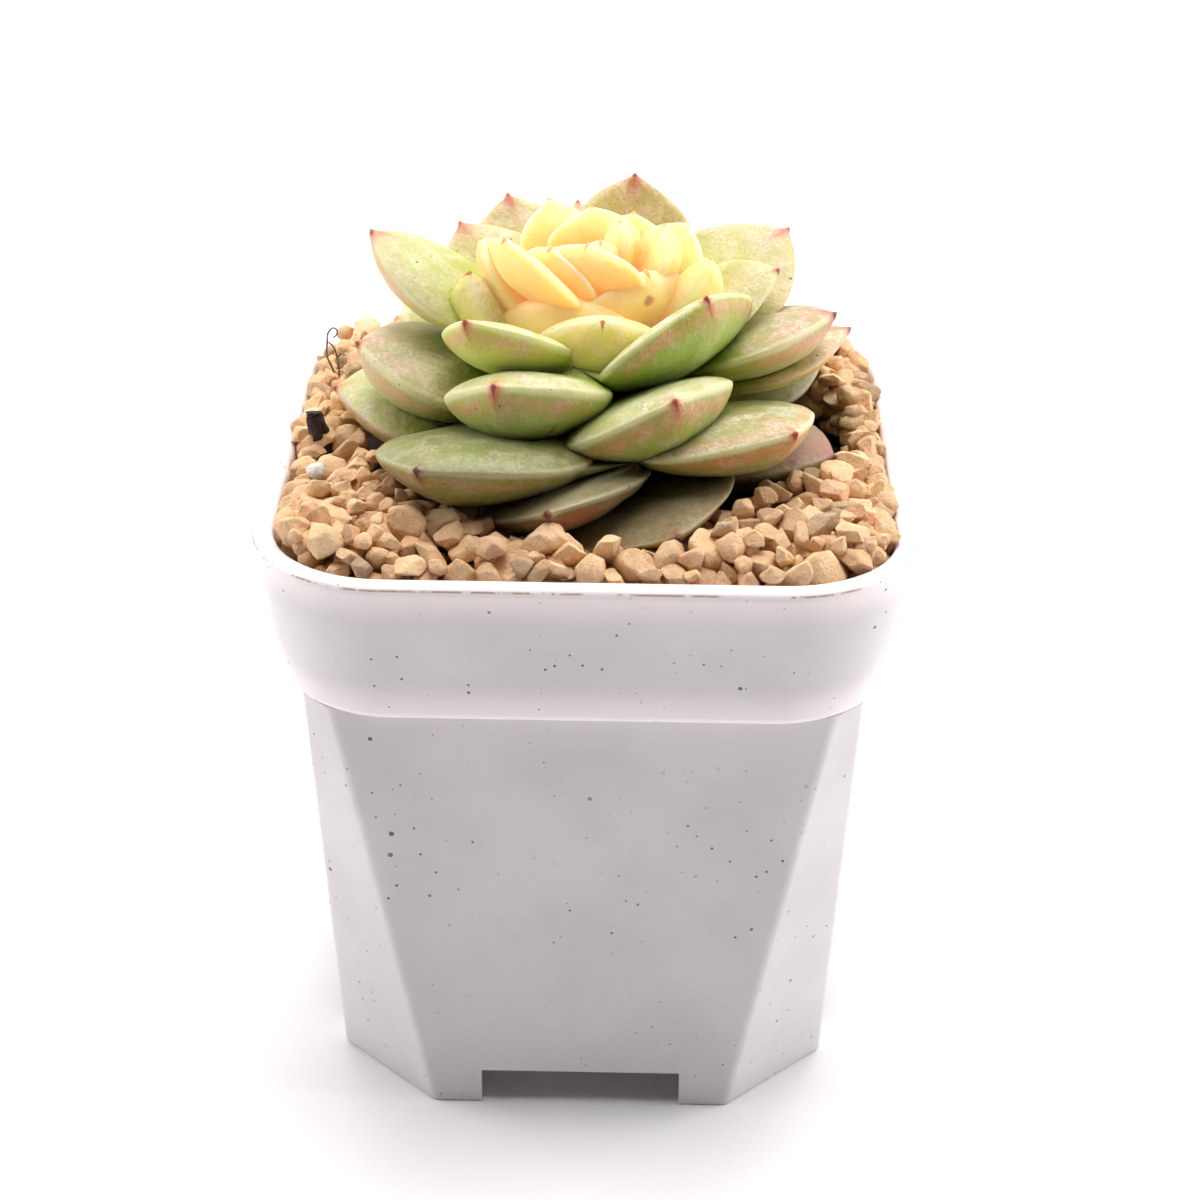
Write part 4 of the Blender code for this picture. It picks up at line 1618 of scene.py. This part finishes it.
    def _stone(self, dice: np.random.Generator, detail: int) -> tuple[np.ndarray, list]:
        """Makes one worn, angular stone about 1 across its middle radius.

        Args:
            dice: the source of its chances.
            detail: how finely its ball is divided before it is cut.

        Returns:
            Its points and its faces.
        """
        mesh = bmesh.new()
        bmesh.ops.create_icosphere(mesh, subdivisions=detail, radius=1)
        points = np.array([v.co[:] for v in mesh.verts])
        faces = [tuple(v.index for v in f.verts) for f in mesh.faces]
        mesh.free()
        for _ in range(9):
            normal = dice.normal(size=3)
            normal /= np.linalg.norm(normal)
            over = points @ normal - dice.uniform(0.46, 0.80)
            points -= np.outer(np.maximum(over, 0) * 0.97, normal)
        shift = dice.uniform(0, 50, 3)
        for point in points:
            lump = noise.fractal(Vector(point * 1.4 + shift), 0.8, 2.0, 3)
            point *= 1 + 0.07 * lump
        points *= np.array([1.18, dice.uniform(0.82, 1.05), dice.uniform(0.62, 0.85)])
        return points * 1.22, faces

    def build(self, leaves: Sequence[BVHTree]) -> list[bpy.types.Object]:
        """Builds and dresses the granules, in four quarters of the pot.

        Args:
            leaves: search trees of the leaves.

        Returns:
            The four pieces.
        """
        dice = np.random.default_rng(self.seed + 1)
        fine = [self._stone(dice, 4) for _ in range(self.variants)]
        plain = [self._stone(dice, 2) for _ in range(self.variants)]
        grains = self.settle(leaves)
        LOG.info("gravel: %d granules", len(grains))
        quarters: dict[tuple[bool, bool], list] = {}
        for spot, radius in grains:
            kinds = plain if self._buried(spot, radius, grains) else fine
            shape, faces = kinds[int(dice.integers(self.variants))]
            tilt = Matrix.Rotation(dice.normal(0, self.tumble), 3, "X")
            tilt = tilt @ Matrix.Rotation(dice.normal(0, self.tumble), 3, "Y")
            turn = np.array(Matrix.Rotation(dice.uniform(0, math.tau), 3, "Z") @ tilt)
            flip = 1 if dice.random() < 0.5 else -1
            points = (shape * np.array([1, flip, 1])) @ turn.T * radius + np.array(spot)
            order = faces if flip > 0 else [f[::-1] for f in faces]
            quarters.setdefault((spot.x > 0, spot.y > 0), []).append((points, order, dice.random()))
        look = self.finish.material()
        pieces = []
        for (right, back), stones in sorted(quarters.items()):
            points = np.vstack([s[0] for s in stones])
            tints = np.concatenate([np.full(len(s[0]), s[2]) for s in stones])
            faces, start = [], 0
            for shape, order, _tint in stones:
                faces.extend(tuple(i + start for i in f) for f in order)
                start += len(shape)
            side = ("back" if back else "front") + ("_right" if right else "_left")
            piece = mesh_object(f"gravel_{side}", points, faces, {"tint": tints})
            settle_piece(piece, "tan_gravel", ["gravel_bed"], look)
            pieces.append(piece)
        return pieces


# ------------------------------------------------------------------ what lies in the gravel


@dataclass(frozen=True)
class DryFibre:
    """The finish of dry plant matter: bark, root, or the stem's corky skin."""

    name: str
    dark: Colour
    light: Colour
    grain: float = 0.5 * MM

    def material(self) -> bpy.types.Material:
        """Makes the material.

        Returns:
            The material.
        """
        dress = Dress(self.name)
        fibre = dress.noise(self.grain, 5, 0.7)
        colour = dress.mix(dress.span(fibre, 0.32, 0.70), self.dark, self.light)
        relief = dress.bump(fibre, 0.4 * self.grain)
        return dress.finish(colour, dress.span(fibre, 0.3, 0.7, 0.7, 0.9), relief)


def tube_rings(
    points: Sequence[Vector], radii: Sequence[float], sides: int, rough: float = 0.0
) -> list[list[Vector]]:
    """Makes the rings of a tube along a route.

    Args:
        points: the route.
        radii: the tube's radius at each point.
        sides: how many points each ring has.
        rough: how uneven the surface is, as a share of the radius.

    Returns:
        The rings, with a pole at each end.
    """
    rings = [[points[0]]]
    for i, (point, radius) in enumerate(zip(points, radii)):
        route = points[min(i + 1, len(points) - 1)] - points[max(i - 1, 0)]
        turn = route.to_track_quat("Z", "X")
        ring = []
        for k in range(sides):
            angle = math.tau * k / sides
            x, y = math.cos(angle), math.sin(angle)
            bark = 1 + rough * noise.noise(Vector((2.2 * x, 2.2 * y, i * 0.35)))
            ring.append(point + turn @ Vector((x, y, 0)) * radius * bark)
        rings.append(ring)
    rings.append([points[-1]])
    return rings


@dataclass
class BarkTwig:
    """A scrap of dark bark that leans out of the gravel."""

    foot: Point = (-28.4 * MM, -2.1 * MM, 66 * MM)
    lean: Point = (-0.24, 0.0, 1.0)
    length: float = 7.7 * MM
    radius: float = 1.05 * MM
    steps: int = 26

    def build(self) -> None:
        """Builds and dresses the scrap."""
        way = Vector(self.lean).normalized()
        points, radii = [], []
        for i in range(self.steps + 1):
            share = i / self.steps
            points.append(Vector(self.foot) + way * self.length * share)
            radii.append(self.radius * (0.78 + 0.22 * math.sin(2.6 * share + 0.4)))
        piece = loft_object("bark_scrap", tube_rings(points, radii, 22, 0.45))
        look = DryFibre("dark_bark", (34, 25, 22), (78, 58, 50)).material()
        settle_piece(piece, "bark", ["bark_twig"], look)


@dataclass
class DryRootlet:
    """A dry wiry rootlet, of two strands that meet near its hooked top."""

    foot: Point = (-29.5 * MM, 15.3 * MM, 70 * MM)
    radius: float = 0.13 * MM
    main: Route = (
        (0.3, -2.5), (0, 0), (-0.5, 1.45), (-0.93, 2.87), (-0.83, 4.57),
        (-0.76, 5.4), (-0.26, 6.07), (0.22, 5.96), (0.29, 5.4), (-0.13, 4.99),
    )
    second: Route = ((0.3, -1.0), (0.45, 1.1), (0.2, 2.6), (-0.1, 3.6), (-0.72, 4.4))
    spur: Route = ((0.22, 2.5), (0.7, 2.9), (1.1, 2.8))

    def _strand(self, route: Sequence[tuple[float, float]], sway: float) -> list[list[Vector]]:
        """Makes one strand's rings, smoothly bent through its route.

        Args:
            route: sideways and upward places, in millimetres.
            sway: how far it swings from front to back, in millimetres.

        Returns:
            The strand's rings.
        """
        foot = Vector(self.foot)
        spots = [Vector((x, sway * math.sin(1.3 * z), z)) * MM + foot for x, z in route]
        points = []
        for i in range(len(spots) - 1):
            before, after = spots[max(i - 1, 0)], spots[min(i + 2, len(spots) - 1)]
            for k in range(6):
                t = k / 6
                a, b = spots[i], spots[i + 1]
                points.append(0.5 * (
                    2 * a + (b - before) * t
                    + (2 * before - 5 * a + 4 * b - after) * t * t
                    + (3 * a - before - 3 * b + after) * t**3
                ))
        points.append(spots[-1])
        radii = [self.radius * (1 - 0.35 * i / len(points)) for i in range(len(points))]
        return tube_rings(points, radii, 8)

    def build(self) -> None:
        """Builds and dresses the rootlet."""
        points, faces = [], []
        for route, sway in ((self.main, 0.2), (self.second, -0.3), (self.spur, -0.3)):
            rings = self._strand(route, sway)
            start = len(points)
            points.extend(p for ring in rings for p in ring)
            faces.extend(tuple(i + start for i in f) for f in loft_faces([len(r) for r in rings]))
        piece = mesh_object("wiry_rootlet", points, faces)
        face_outwards(piece)
        look = DryFibre("dry_root", (84, 74, 66), (146, 134, 122), 0.3 * MM).material()
        settle_piece(piece, "rootlet", ["dry_rootlet"], look)


@dataclass
class PerliteBead:
    """A rounded, pitted bead of white perlite."""

    centre: Point = (-29.0 * MM, -11.0 * MM, 70.6 * MM)
    radius: float = 1.05 * MM

    def build(self) -> None:
        """Builds and dresses the bead."""
        mesh = bmesh.new()
        bmesh.ops.create_icosphere(mesh, subdivisions=5, radius=1)
        for vertex in mesh.verts:
            spot = vertex.co.copy()
            pits = noise.fractal(spot * 1.6, 0.9, 2.1, 4)
            vertex.co = spot * (1 + 0.10 * pits) * self.radius
            vertex.co.z *= 0.85
        mesh.transform(Matrix.Translation(Vector(self.centre)))
        data = bpy.data.meshes.new("perlite")
        mesh.to_mesh(data)
        mesh.free()
        data.shade_smooth()
        piece = bpy.data.objects.new("perlite_grain", data)
        bpy.context.scene.collection.objects.link(piece)
        look = DryFibre("white_perlite", (226, 222, 218), (252, 251, 250), 0.4 * MM).material()
        settle_piece(piece, "perlite", ["perlite_bead"], look)


def dress_stem() -> None:
    """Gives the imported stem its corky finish; its shape stays as packed."""
    stem = bpy.data.objects["stem"]
    look = DryFibre("green_stem", (150, 140, 60), (190, 180, 90), 1.5 * MM).material()
    stem.data.materials.clear()
    stem.data.materials.append(look)
    LOG.info("stem: packed shape, new finish")


# ------------------------------------------------------------------ the studio


@dataclass
class Studio:
    """A pale floor, soft lights and the camera."""

    azimuth: float = 0.827
    elevation: float = 27.683
    distance: float = 337.845 * MM
    target: Point = (1.316 * MM, 0.0, 49.793 * MM)
    roll: float = 0.552
    lens: float = 89.41
    sensor: float = 36.0
    front_level: float = 0.02
    back_level: float = 0.75
    floor_reach: float = 12.0

    def camera(self) -> bpy.types.Object:
        """Sets up the camera and makes it the scene's own.

        Returns:
            The camera.
        """
        azimuth, elevation = math.radians(self.azimuth), math.radians(self.elevation)
        flat = math.cos(elevation)
        back = Vector((math.sin(azimuth) * flat, -math.cos(azimuth) * flat, math.sin(elevation)))
        right = Vector((math.cos(azimuth), math.sin(azimuth), 0))
        up = back.cross(right)
        turn = Matrix((right, up, back)).transposed()
        turn = turn @ Matrix.Rotation(math.radians(self.roll), 3, "Z")
        data = bpy.data.cameras.new("camera")
        data.lens = self.lens
        data.sensor_width = self.sensor
        data.clip_start = 0.01
        camera = bpy.data.objects.new("camera", data)
        place = Vector(self.target) + back * self.distance
        camera.matrix_world = Matrix.Translation(place) @ turn.to_4x4()
        bpy.context.scene.collection.objects.link(camera)
        bpy.context.scene.camera = camera
        return camera

    def floor(self) -> bpy.types.Object:
        """Lays the pale floor.

        Returns:
            The floor.
        """
        square = ((-1, -1, 0), (1, -1, 0), (1, 1, 0), (-1, 1, 0))
        spots = [Vector(spot) * self.floor_reach for spot in square]
        plane = mesh_object("floor", spots, [(0, 1, 2, 3)])
        dress = Dress("pale_floor")
        cloud = dress.span(dress.noise(0.3), 0.3, 0.7)
        colour = dress.mix(cloud, (249, 246, 246), (251, 249, 249))
        plane.data.materials.append(dress.finish(colour, 0.6))
        return plane

    def _softbox(self, name: str, place: Point, size: float, power: float, aim: Point) -> None:
        """Hangs one square soft light.

        Args:
            name: its name.
            place: where it hangs, in metres.
            size: its side, in metres.
            power: its power in watts.
            aim: the point that it faces.
        """
        data = bpy.data.lights.new(name, "AREA")
        data.size = size
        data.energy = power
        light = bpy.data.objects.new(name, data)
        light.location = place
        light.rotation_mode = "QUATERNION"
        light.rotation_quaternion = (Vector(aim) - Vector(place)).to_track_quat("-Z", "Y")
        bpy.context.scene.collection.objects.link(light)

    def _sky(self) -> None:
        """Makes the surroundings: dim in front, bright behind and above."""
        world = bpy.data.worlds.new("studio")
        world.use_nodes = True
        tree = world.node_tree
        sky = tree.nodes["Background"]
        sky.inputs["Color"].default_value = (1.0, 0.985, 0.985, 1)
        place = tree.nodes.new("ShaderNodeTexCoord")
        split = tree.nodes.new("ShaderNodeSeparateXYZ")
        level = tree.nodes.new("ShaderNodeMapRange")
        level.interpolation_type = "SMOOTHSTEP"
        levels = (-0.60, 0.60, self.front_level, self.back_level)
        for socket, number in zip(list(level.inputs)[1:5], levels):
            socket.default_value = number
        tree.links.new(place.outputs["Generated"], split.inputs[0])
        tree.links.new(split.outputs["Y"], level.inputs[0])
        tree.links.new(level.outputs[0], sky.inputs["Strength"])
        bpy.context.scene.world = world

    def lights(self) -> None:
        """Lights the scene from above and behind, with softer light from the sides."""
        self._sky()
        aim = (0.0, 0.0, 0.06)
        self._softbox("back_top", (0.05, 0.40, 0.90), 0.7, 5.0, aim)
        self._softbox("top", (0.0, -0.06, 1.0), 0.5, 4.0, aim)
        self._softbox("left", (-0.70, 0.10, 0.35), 0.6, 3.3, aim)
        self._softbox("right", (0.70, 0.10, 0.35), 0.6, 4.2, aim)
        view = bpy.context.scene.view_settings
        view.view_transform = "Standard"
        view.look = "None"

    def build(self) -> None:
        """Sets up the camera, the floor and the lights."""
        self.camera()
        self.floor()
        self.lights()


def corners(box: tuple[Vector, Vector]) -> list[list[float]]:
    """Returns a box's two corners as plain lists."""
    return [[float(n) for n in corner] for corner in box]


def main() -> None:
    """Builds the whole object and reports each piece."""
    logging.basicConfig(level=logging.INFO, format="%(message)s")
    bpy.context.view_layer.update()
    Studio().build()
    pot = SquarePot()
    pot.build()
    leaves = Rosette().build(leaf_rows())
    soil = SoilBed(pot)
    soil.build()
    GravelDressing(pot, soil).build([tree_of(leaf) for leaf in leaves])
    BarkTwig().build()
    DryRootlet().build()
    PerliteBead().build()
    dress_stem()
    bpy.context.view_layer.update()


if __name__ == "__main__":
    main()
